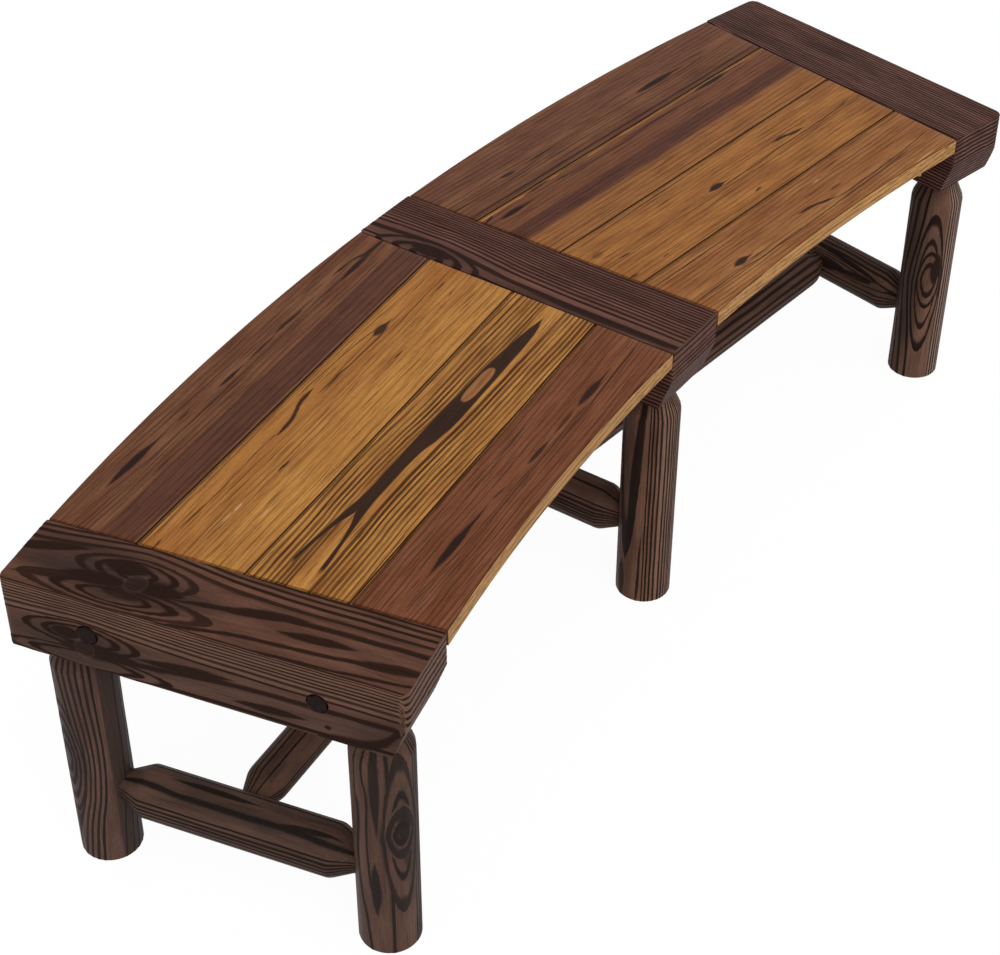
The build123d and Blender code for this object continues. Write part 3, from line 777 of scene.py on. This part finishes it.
def beam_grain(tree, side):
    """Along and across a beam, unrolled over its free edge and round its front end."""
    x, y, z = own_axes(tree, frame_axes(FRAME_TURN[side]))
    depth = z * -1.0 + SEAT_HEIGHT
    unrolled = x + depth * FREE_SIDE[side]
    on_edge = (depth * FRONT_PACE[side] + BEAM_HALF) * FREE_SIDE[side]
    front = facing(tree, -compass(FRAME_TURN[side])["Y"]).rise(0.35, 0.8)
    return y, unrolled + (on_edge - unrolled) * front, Grain(y, x, depth)


def sliced_copy(node, name, turn, steps):
    """A merged copy of a node's skin, sliced finely across the grain and coarsely along it."""
    shape = bmesh.new()
    shape.from_mesh(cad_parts[node].data)
    bmesh.ops.remove_doubles(shape, verts=shape.verts, dist=1e-6)
    bmesh.ops.dissolve_limit(
        shape, angle_limit=math.radians(0.2), verts=shape.verts, edges=shape.edges
    )
    coarse = 1.0
    for axis, step in steps.items():
        direction = compass(turn)[axis]
        reach = [corner.co.dot(direction) for corner in shape.verts]
        low, high = min(reach), max(reach)
        count = int((high - low) / (step * coarse * MM))
        for number in range(1, count + 1):
            level = low + (high - low) * (number - 0.5) / count
            bmesh.ops.bisect_plane(
                shape, geom=shape.verts[:] + shape.edges[:] + shape.faces[:], dist=1e-7,
                plane_co=direction * level, plane_no=direction,
            )
    mesh = bpy.data.meshes.new(name)
    shape.to_mesh(mesh)
    shape.free()
    return mesh


def knot_face(along, across, spot):
    """The round face of a branch in the wood: how much of it, and of its rim."""
    centre_along, centre_across, radius = spot
    out = (along - centre_along).power(2.0) + (across - centre_across).power(2.0)
    out = out.worked("SQRT")
    inside = out.fall(radius - 1.5, radius + 1.0)
    return inside, out.rise(radius - 3.5, radius - 1.0) * out.fall(radius, radius + 2.0)


def beam_figure(tree, side):
    """Where a beam's late wood is dark, lighter on the knots' round faces, and their rims."""
    rings = BEAM_RINGS[side]
    along, across, grain = beam_grain(tree, side)
    dark = late_wood(along, across, grain, rings)
    behind = facing(tree, compass(FRAME_TURN[side])["Y"]).rise(0.85, 0.95)
    dark = sawn_end(grain, dark, rings["seed"], behind, BEAM_HEART, BEAM_YEAR)
    faces = [knot_face(along, across, spot) for spot in rings.get("faces", ())]
    for inside, _ in faces:
        dark = dark + (dark * 0.35 + 0.4 - dark) * inside
    return along, across, grain, dark, [(rim * 0.5, KNOT_RIM) for _, rim in faces]


for side, rings in BEAM_RINGS.items():
    node = "middle_beam" if side == "middle" else "end_beam_" + side
    material, tree = new_material("brushed beam " + side)
    along, across, grain, dark, rims = beam_figure(tree, side)
    up = facing(tree, (0, 0, 1))
    # Rounded edges that tilt up toward the light get a lighter tint: partly edge wear, partly a painted
    # highlight.
    worn = up.rise(0.25, 0.5) * up.fall(0.85, 0.97) * grain.cloud(60.0, 60.0, 77.0).rise(-0.3, 0.4)
    tints = smoked(along, across, grain, rings, BEAM_SMOKE, 0.05, 0.35)
    tints += [*rims, (worn * 0.5, WORN_EDGE)]
    colours = (*rings.get("colours", BEAM_COLOURS), BEAM_LATE)
    finish_wood(tree, grain, dark, rings["seed"], colours, BEAM_SATIN, tints)
    tree, given = geometry_tree("brushed beam " + side)
    dark = beam_figure(tree, side)[3]
    brushed(given["Geometry"], dark, BRUSHED_DEPTH, material)
    mesh = sliced_copy(node, "squared_" + node, FRAME_TURN[side], BEAM_SLICES)
    beam = made_with(tree, "squared_" + node, {}, BOARD_CREASE, mesh)
    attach(beam, "root")
    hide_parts(node)


# Ledgers and battens. Sawn softwood strips under the seat: a ledger is bolted along each side
# of a beam that faces a bay, and a batten crosses each bay's planks at its middle.
BAY_TURN = {"left": math.radians(-6.34), "right": math.radians(6.34)}
STRIP_COLOURS = ((168, 122, 74), (140, 96, 56), (96, 62, 36))
STRIP_SATIN = (0.62, 0.05)
STRIP_YEAR = 5.5
SAW_PACE = 1.6
STRIP_TURN = {
    "seat_ledger_left_left": FRAME_TURN["left"], "seat_ledger_left_middle": 0.0,
    "seat_ledger_right_middle": 0.0, "seat_ledger_right_right": FRAME_TURN["right"],
    "seat_batten_left": BAY_TURN["left"], "seat_batten_right": BAY_TURN["right"],
}


def coated(node, material):
    """Gives a solid of the frame one material."""
    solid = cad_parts[node].data
    solid.materials.clear()
    solid.materials.append(material)


for number, (node, turn) in enumerate(STRIP_TURN.items()):
    material, tree = new_material("sawn strip " + str(number + 1))
    x, y, z = own_axes(tree, frame_axes(turn))
    grain = Grain(y, x, z)
    seed = 31.0 + number
    across = x + z * 0.8 + grain.cloud(160.0, 30.0, seed) * 4.0
    year = (across / STRIP_YEAR).worked("FRACT")
    saw = ((y + grain.cloud(60.0, 20.0, seed) * 3.0) * SAW_PACE).worked("SINE")
    dark = year.rise(0.35, 0.95) * 0.55 + saw.rise(0.2, 1.0) * 0.12
    finish_wood(tree, grain, dark, seed, STRIP_COLOURS, STRIP_SATIN)
    coated(node, material)


# Seat planks. Four boards to a bay, sawn to the seat's curve at its front and back, their top
# edges eased and every board of another tree: golden, tan or red-brown heartwood with pitch
# streaks and small knots. They are oiled, and screwed up through the ledgers and the batten.
PLANK_RELIEF = 0.1
PLANK_SLICES = {"X": 16.0, "Y": 2.0, "Z": 2.0}
PLANK_SATIN = (0.42, 0.06)
PLANK_HAIR = 0.62
SEAMS = (101.3, 227.7, 362.2)
# Painted shade for the seams between the boards and for their eased edges.
SEAM_DARK = (40, 20, 13)
# A painted highlight in a faint pale band beside each seam.
PALE_EDGE = (204, 150, 94)
CUT_EDGE = (206, 156, 96)
RESIN = (206, 164, 120)
ISLAND_BROWN = (140, 92, 66)
PITCH_DARK = (35, 22, 21)
GOLD = ((186, 131, 68), (158, 104, 53), (66, 34, 17))
TAN = ((164, 113, 68), (138, 87, 50), (66, 33, 18))
RED_BROWN = ((127, 79, 54), (110, 64, 42), (50, 26, 18))
BROWN = ((122, 82, 58), (104, 64, 45), (46, 26, 20))
BAND_BROWN = (84, 51, 41)
BROAD_LENS = 2.5
PLANKS = {}
PLANKS["left", 1] = dict(
    seed=1, wander=3, colours=RED_BROWN, depth=0.55, pitch=6, breadth=2.4,
    lines=[-20, -13, -5, 2, 10, 16, 24, 30, 35, 58, 66, 75, 82, 90, 97],
    knots=[(-162, 49.5, 80, 10, 8, 8), (166, 43, 60, 9, 6, 6), (30, 43.5, 40, 6, 3, 3)],
    marks=[
        ([(-290, 44), (-220, 42), (-160, 38.5), (-60, 38), (60, 37), (150, 35)], 1.8, 0.6),
        ([(60, 33), (130, 31), (200, 34), (290, 35)], 2.4, 0.7),
        ([(-100, 78), (0, 79), (80, 82)], 2.2, 0.5),
    ],
    streaks=[
        (-162, 49.5, 60, 6.6, 0.01, 1), (-58, 48.5, 18, 1.8, -0.05, 0.7), (30, 43.5, 28, 3.4, -0.03, 0.9),
        (98, 43.8, 34, 2.4, 0, 0.7), (166, 43, 38, 6.2, 0, 0.95), (-235, 39, 60, 1.2, -0.06, 0.6),
        (-40, 34.5, 180, 1, -0.01, 0.5), (150, 32, 140, 1, 0.01, 0.5), (60, 52, 130, 1, 0, 0.4),
        (270, 46, 26, 1.6, 0, 0.5),
    ],
)
PLANKS["left", 2] = dict(
    seed=2, wander=1.5, colours=(GOLD[0], GOLD[1], (54, 27, 13)), depth=0.97, breadth=3.8, pitch=6,
    ripple=0.6,
    lines=[
        (104, 2.2), (110.5, 3), 117, 123, 129.5, 136.5, (143, 4.4), (149.5, 4.6), (179, 5), (184.5, 4.2),
        190, 196, 202, 209, 217,
    ],
    bend=[(-330, -2), (-200, 1), (-120, 4), (-30, 2), (60, -2.5), (150, -3.5), (230, -4.5), (320, -6)],
    forked=True,
)
PLANKS["left", 3] = dict(
    seed=3, wander=4, colours=GOLD, depth=0.38, pitch=8, breadth=3,
    lines=[236, 247, 259, 268, 279, 290, 298, 306, 314, 323, 352, 360],
    knots=[(-20, 338, 100, 10, 8, 8), (160, 335, 60, 10, 8, 8)],
    marks=[
        ([(-92, 331), (-60, 332), (-38, 337), (-14, 342.5), (16, 343.5)], 6, 0.95),
        ([(-290, 336), (-200, 333), (-120, 334.5), (-75, 331)], 2, 0.7),
        ([(0, 332), (50, 330.5), (100, 328.5), (170, 328)], 2.6, 0.9),
        ([(-20, 351), (60, 348.5), (120, 344.5), (166, 338)], 2.2, 0.7),
    ],
    streaks=[
        (156, 334.5, 19, 8, 0, 0.95), (-134, 292.5, 14, 2.2, -0.02, 0.9), (121, 287, 12, 1.8, 0, 0.8),
        (278, 315.5, 12, 1.4, 0, 0.7), (270, 296, 12, 1.2, 0.1, 0.6), (180, 350, 120, 1, -0.06, 0.6),
        (215, 322, 70, 1, 0.03, 0.6), (-318, 341.5, 12, 2, 0, 0.8), (-200, 355, 180, 1.4, 0.01, 0.45),
        (-265, 297, 30, 1.2, 0, 0.5),
    ],
    resin=[(-243, 299, 12, 1.6), (-221, 298, 9, 2), (-215, 265, 16, 0.9)],
    bands=[(300, 362, 30, (156, 98, 50), 0.5), (222, 278, 12, (194, 138, 70), 0.35)],
)
PLANKS["left", 4] = dict(
    seed=4, wander=3, colours=BROWN, depth=0.55, pitch=7, breadth=2.6,
    lines=[376, 386, 397, 408, 416, 424, 431, 437, 459, 466, 474, 483, 491],
    knots=[(-214, 451.5, 80, 10, 8, 8), (280, 437, 80, 9, 6, 6), (-20, 445, 40, 6, 3, 3)],
    marks=[
        ([(-320, 449), (-240, 441), (-150, 437), (-40, 434), (70, 436), (200, 432)], 1.8, 0.6),
        ([(-160, 463), (-40, 461), (80, 452), (190, 446)], 1.8, 0.55),
        ([(225, 452), (270, 449), (300, 441), (335, 436)], 4, 0.9),
    ],
    streaks=[
        (-214, 451.5, 54, 6.4, 0, 1), (-110, 450, 14, 1.8, 0, 0.8), (-20, 445, 26, 3.2, -0.02, 0.95),
        (52, 445, 36, 2.4, 0, 0.8), (117, 446.5, 40, 3.4, -0.03, 0.9), (262, 437, 42, 4.6, 0.02, 0.95),
        (312, 439, 34, 3.6, -0.1, 0.9), (185, 433.5, 30, 1.2, 0, 0.6), (-100, 436, 220, 1, -0.01, 0.5),
        (80, 455, 130, 1, 0.01, 0.5), (-300, 443, 60, 1.2, -0.08, 0.5),
    ],
    bands=[(352, 411, 3, BAND_BROWN, 0.72)],
)
PLANKS["right", 1] = dict(
    seed=5, wander=4, colours=TAN, depth=0.55, pitch=6, breadth=2.4,
    lines=[-15, -8, 0, 7, 14, 20, 27, 52, 60, 68, 74, 83, 90, 97, 104], knots=[(-172, 34, 60, 12, 6, 6)],
    marks=[
        ([(-32, 44.5), (5, 41), (25, 35), (50, 30)], 6, 0.95),
        ([(30, 31), (80, 27), (150, 27.5), (290, 34)], 2.2, 0.8),
        ([(-290, 21.5), (-200, 22.5), (-140, 19), (-60, 19), (60, 21), (220, 24)], 2.4, 0.8),
    ],
    streaks=[
        (-172, 34, 19, 7.5, 0.05, 1), (-145, 27.5, 26, 1.6, 0, 0.8), (65, 46, 18, 2, 0, 0.7),
        (-210, 82.5, 110, 1.4, 0, 0.8), (120, 21, 170, 0.9, 0.01, 0.45), (-60, 46, 90, 0.9, 0.03, 0.5),
        (-250, 42, 60, 0.9, 0.03, 0.4),
    ],
    resin=[(60, 75.5, 10, 1.8), (85, 76.5, 18, 0.9), (215, -3, 30, 1.2)],
    bands=[(44, 80, 10, (142, 88, 52), 0.5)],
)
PLANKS["right", 2] = dict(
    seed=6, wander=4, colours=((167, 112, 60), (141, 90, 50), GOLD[2]), depth=0.42, pitch=7, breadth=2.6,
    lines=[112, 121, 130, 139, 147, 155, 160, 165, 184, 191, 199, 206, 213, 220],
    knots=[(-44, 170, 60, 12, 6, 6)],
    marks=[
        ([(100, 182), (125, 180), (148, 175), (175, 172.5)], 6, 0.95),
        ([(-45, 165), (40, 163.5), (100, 166.5), (170, 165.5), (290, 170)], 2.2, 0.8),
        ([(-160, 157), (-60, 158), (80, 155), (200, 159)], 1.8, 0.6),
    ],
    streaks=[
        (-44, 170, 20, 6.8, 0, 1), (100, 183, 190, 1, 0.03, 0.5), (-286, 185.5, 13, 6, 0, 0.45),
        (-263, 158.5, 14, 2, -0.04, 0.8), (-293, 119, 9, 3.4, 0, 0.75), (-10, 123, 10, 2.2, 0.15, 0.8),
        (-226, 118, 9, 1.6, 0, 0.7), (-150, 218.5, 190, 1.1, 0.01, 0.8), (250, 162, 90, 1, 0, 0.5),
    ],
    resin=[(222, 213.5, 26, 1.4)],
)
PLANKS["right", 3] = dict(
    seed=7, wander=3, colours=((134, 86, 56), (108, 67, 47), BROWN[2]), depth=0.5, pitch=7, breadth=2.6,
    lines=[236, 246, 254, 263, 272, 281, 290, 299, 308, 317, 325, 333, 340, 347, 362],
    knots=[(-279, 340, 60, 9, 6, 6), (190, 355, 80, 9, 6, 6)],
    marks=[
        ([(-172, 349), (-140, 345), (-60, 343), (60, 345), (200, 341)], 2.2, 0.7),
        ([(-330, 285), (-150, 286), (60, 284), (320, 286)], 2.4, 0.5),
    ],
    streaks=[
        (-279, 340, 30, 5.2, 0, 1), (-210, 356.5, 34, 2.2, 0, 0.9), (-125, 357.5, 44, 2, 0, 0.75),
        (190, 355, 52, 5, 0, 1), (-314, 352, 14, 2.4, 0.25, 0.9), (-165, 347, 14, 2.2, -0.1, 0.8),
        (30, 347, 170, 1, 0.02, 0.6), (-80, 342, 130, 1, 0.01, 0.5), (220, 345, 90, 1, -0.03, 0.5),
    ],
    bands=[
        (284, 312, 6, BAND_BROWN, 0.9), (314, 400, 10, (112, 70, 50), 0.75),
        # The thin pale band from 356.6 to 359.6 is a painted highlight along the seam behind this board.
        (356.6, 359.6, 0.7, (198, 140, 78), 0.7), (200, 276, 8, (158, 104, 56), 0.7),
    ],
)
PLANKS["right", 4] = dict(
    seed=8, wander=3, colours=BROWN, depth=0.55, pitch=7, breadth=2.6,
    lines=[372, 382, 391, 398, 405, 410, 430, 439, 447, 455, 464, 472, 481, 490],
    knots=[(134, 417, 80, 10, 8, 8), (-200, 409, 60, 8, 4, 4)],
    marks=[
        ([(60, 411), (110, 408), (180, 409), (260, 414)], 1.8, 0.6),
        ([(150, 427), (200, 424), (270, 418)], 2, 0.6),
        ([(-330, 417), (-220, 419), (-120, 415), (-40, 412)], 1.8, 0.55),
        ([(-330, 372), (-100, 373), (100, 371), (330, 373)], 3, 0.75),
    ],
    streaks=[
        (134, 417, 52, 6.4, 0, 1), (-210, 409, 18, 3.6, -0.08, 0.9), (-138, 410, 30, 2.6, 0.02, 0.85),
        (-320, 400, 24, 1.6, 0, 0.7), (225, 423, 46, 1.4, -0.03, 0.8), (235, 411, 22, 1.2, -0.2, 0.6),
        (-190, 418, 80, 1.2, -0.04, 0.6), (-230, 398, 60, 1, 0.04, 0.6),
        (100, 372, 260, 1.8, 0.005, 0.75), (-180, 371, 90, 2.2, 0, 0.6),
    ],
    bands=[(352, 380, 12, BAND_BROWN, 0.5), (430, 470, 14, (104, 66, 54), 0.5)],
)


def pitch_streak(along, across, grain):
    """A long forked streak of dark pitch with an island of clean wood in it."""
    ragged = grain.cloud(60.0, 14.0, 41.0, 1.0) * 1.2
    above = along.read_off([
        (-290, 197.5), (-250, 195.5), (-165, 187.5), (-120, 184), (-20, 184), (90, 182), (180, 178),
        (240, 171.5), (279, 164.5), (320, 160),
    ])
    below = along.read_off([
        (-290, 152.5), (-250, 155.5), (-165, 164), (-120, 166), (-70, 166), (0, 158), (60, 155),
        (150, 156), (220, 157.5), (279, 164.5), (320, 168),
    ])
    inside = (across - below + ragged).rise(-0.8, 1.2) * (across - above + ragged).fall(-1.2, 0.8)
    gape = along.read_off([(-290, 17), (-250, 14.5), (-200, 9), (-165, 0)])
    fork = (abs(across - 175.5) - gape + ragged * 0.5).fall(-1.0, 1.0)
    fork = fork * along.fall(-170.0, -158.0)
    span = ((along - 113.0) / 40.0).power(2.0)
    off = (across - 169.7) / 7.6
    island = (off * off + span * span + ragged * 0.08).fall(0.7, 1.15)
    inside = inside * (fork * -1.0 + 1.0) * along.rise(-280.0, -262.0)
    return inside * (island * -0.93 + 1.0), island


def plank_figure(tree, bay, board):
    """Along and across a plank, its lines turning down over its cut edges, and their dark."""
    along, y, z = own_axes(tree, frame_axes(BAY_TURN[bay]))
    depth = z * -1.0 + SEAT_HEIGHT
    across, grain = y - depth * 0.9, Grain(along, y, depth)
    dark = late_wood(along, across, grain, board) * board["depth"]
    fade = grain.cloud(220.0, 16.0, board["seed"] + 23.0).rise(-0.7, 0.4)
    return along, across, grain, dark * fade.scaled(0.7, 0.3)


for (bay, number), board in PLANKS.items():
    node = f"seat_plank_{bay}_{number}"
    material, tree = new_material(f"oiled board {bay} {number}")
    along, across, grain, dark = plank_figure(tree, bay, board)
    seed = board["seed"]
    wavy = across + grain.cloud(30.0, 6.0, seed + 2.0, 3.0) * 1.8
    streaks = []
    for lens in board.get("streaks", ()):
        at_along, at_across, length, width, *rest = lens
        streaks.append(lens_shape(along, wavy, lens, 0.5, 1.15))
        if width > BROAD_LENS:
            tail = (at_along + 0.3 * length, at_across - 0.1 * width, 1.3 * length, 0.34 * width)
            streaks.append(lens_shape(along, wavy, (*tail, *rest), 0.4, 1.2))
    streaks += [stroke_shape(along, wavy, stroke) for stroke in board.get("marks", ())]
    tints = banded(across + grain.cloud(260.0, 60.0, seed + 29.0) * 4.0, board)
    if board.get("forked"):
        pitch, island = pitch_streak(along, across, grain)
        tints.append((island * 0.6, ISLAND_BROWN))
        dark = dark * (pitch * -1.0 + 1.0) * (island * -0.8 + 1.0)
        streaks.append(pitch)
    cut = abs(facing(tree, compass(BAY_TURN[bay])["Y"])).rise(0.8, 0.9)
    up = facing(tree, (0, 0, 1))
    # The eased top edges are darkened with the seam colour: painted shade, as in the gaps between the
    # boards.
    eased = up.rise(0.3, 0.6) * up.fall(0.8, 0.95)
    tints += [(cut * 0.75, CUT_EDGE), (eased * 0.6, SEAM_DARK)]
    # Along each seam there is a dark line of painted shade and, just beside it, a faint pale band of
    # painted highlight.
    for seam in SEAMS[max(number - 2, 0):number]:
        away = abs(across - seam)
        tints.append((away.rise(1.6, 2.6) * away.fall(2.8, 4.4) * 0.2, PALE_EDGE))
        tints.append((away.fall(0.9, 2.1) * 0.85, SEAM_DARK))
    for resin in board.get("resin", ()):
        tints.append((lens_shape(along, across, (*resin, 0.0, 0.7), 0.6, 1.1), RESIN))
    pitch = streaks[0]
    for streak in streaks[1:]:
        pitch = pitch.at_least(streak)
    last = [(pitch * 0.95, PITCH_DARK)]
    finish_wood(
        tree, grain, dark, seed + 50.0, board["colours"], PLANK_SATIN, tints, PLANK_HAIR, last
    )
    tree, given = geometry_tree(f"brushed board {bay} {number}")
    relief = plank_figure(tree, bay, board)[3]
    brushed(given["Geometry"], relief, PLANK_RELIEF, material)
    mesh = sliced_copy(node, "oiled_" + node, BAY_TURN[bay], PLANK_SLICES)
    plank = made_with(tree, "oiled_" + node, {}, BOARD_CREASE, mesh)
    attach(plank, "root")
    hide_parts(node)


# Bolts, nuts and washers. Blackened steel coach bolts whose hexagon heads are let into the
# outer faces of the end beams; nuts and washers draw the ledgers tight against the beams.
def steel(name, light, deep, roughness, scale, metal):
    """Steel with a mottled skin and fine forging marks."""
    material, tree = new_material(name)
    grain = Grain(*own_axes(tree, (0.0, (0.0, 0.0, 0.0))))
    mottle = grain.cloud(scale, scale, 3.0, 4.0)
    bump = {"Strength": 0.3, "Distance": 0.1 * MM, "Height": mottle}
    feed_all(tree, tree.nodes["Principled BSDF"], {
        "Base Color": mixed(mottle.rise(-0.5, 0.5), light, deep), "Metallic": metal,
        "Roughness": mottle * 0.12 + roughness, "Specular IOR Level": 0.05,
        "Normal": new_step(tree, "ShaderNodeBump", named=bump),
    })
    return material


black_steel = steel("blackened steel", (36, 24, 20), (24, 16, 14), 0.6, 4.0, 0.0)
for node in ("end_beam_bolts", "middle_beam_bolts", "bolt_washers", "bolt_nuts"):
    coated(node, black_steel)


# Screws. Yellow zinc wood screws hold the planks to the ledgers and battens, and one locks each
# leg's tenon in its beam.
zinc_steel = steel("yellow zinc steel", (196, 170, 112), (168, 140, 92), 0.38, 2.5, 0.9)
for node in (
    "ledger_screws_left", "ledger_screws_right", "batten_screws_left", "batten_screws_right",
    "leg_tenon_screws",
):
    coated(node, zinc_steel)


# Studio. A wide white floor that keeps only a faint shadow of the bench, soft light from all
# round and one broad lamp high on the left.
FLOOR_REACH = 30.0
WHITE = (1.0, 1.0, 1.0, 1)
FLOOR_GREY = (0.55, 0.55, 0.55, 1)


def two_looks(tree, cast, seen):
    """One shader for the light that falls on the bench, another for what is seen of it."""
    ray = tree.nodes.new("ShaderNodeLightPath")
    camera, shine, through = [
        Reading(tree, ray.outputs[f"Is {kind} Ray"])
        for kind in ("Camera", "Glossy", "Transmission")
    ]
    eye = camera.at_least(shine.at_least(through))
    return new_step(tree, "ShaderNodeMixShader", eye, cast, seen)


floor_mesh = bpy.data.meshes.new("studio_floor")
corners = [(x * FLOOR_REACH, y * FLOOR_REACH, 0) for x, y in ((-1, -1), (1, -1), (1, 1), (-1, 1))]
floor_mesh.from_pydata(corners, [], [(0, 1, 2, 3)])
floor = bpy.data.objects.new("studio_floor", floor_mesh)
bpy.context.scene.collection.objects.link(floor)
floor_paint, tree = new_material("studio white")
matt = tree.nodes["Principled BSDF"]
feed_all(tree, matt, {"Base Color": FLOOR_GREY, "Roughness": 0.9})
matt = Reading(tree, matt.outputs[0])
glow = new_step(tree, "ShaderNodeEmission", named={"Strength": 1.06})
lit = new_step(tree, "ShaderNodeMixShader", 0.9, matt, glow)
feed(tree, tree.nodes["Material Output"].inputs["Surface"], two_looks(tree, matt, lit))
floor_mesh.materials.append(floor_paint)
floor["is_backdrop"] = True

world = bpy.data.worlds.new("studio")
world.use_nodes = True
tree = world.node_tree
soft = tree.nodes["Background"]
feed_all(tree, soft, {"Color": WHITE, "Strength": 0.66})
soft = Reading(tree, soft.outputs[0])
backdrop = new_step(tree, "ShaderNodeBackground", WHITE, 1.0)
feed(tree, tree.nodes["World Output"].inputs["Surface"], two_looks(tree, soft, backdrop))
bpy.context.scene.world = world

lamp = bpy.data.lights.new("broad lamp", "SUN")
lamp.energy = 1.4
lamp.angle = math.radians(50)
lamp_stand = bpy.data.objects.new("broad lamp", lamp)
lamp_stand.rotation_euler = (math.radians(34), math.radians(-26), 0)
bpy.context.scene.collection.objects.link(lamp_stand)


# Camera. A long lens, three quarters from the front left and well above the seat.
stand = Vector((-1.97526, -1.27005, 2.03967))
aim = Vector((-0.2215, -0.05652, 0.3))
tilt = 0.00128
view = (aim - stand).normalized()
level = view.cross(Vector((0, 0, 1))).normalized()
upright = level.cross(view)
right = math.cos(tilt) * level + math.sin(tilt) * upright
above = -math.sin(tilt) * level + math.cos(tilt) * upright
lens = bpy.data.cameras.new("camera")
lens.lens = 77.8323
lens.sensor_width = 36
camera = bpy.data.objects.new("camera", lens)
pose = Matrix((right, above, -view)).transposed().to_4x4()
pose.translation = stand
camera.matrix_world = pose
bpy.context.scene.collection.objects.link(camera)
bpy.context.scene.camera = camera
bpy.context.scene.view_settings.view_transform = "Standard"

looks_box = [list(corner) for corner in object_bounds()]
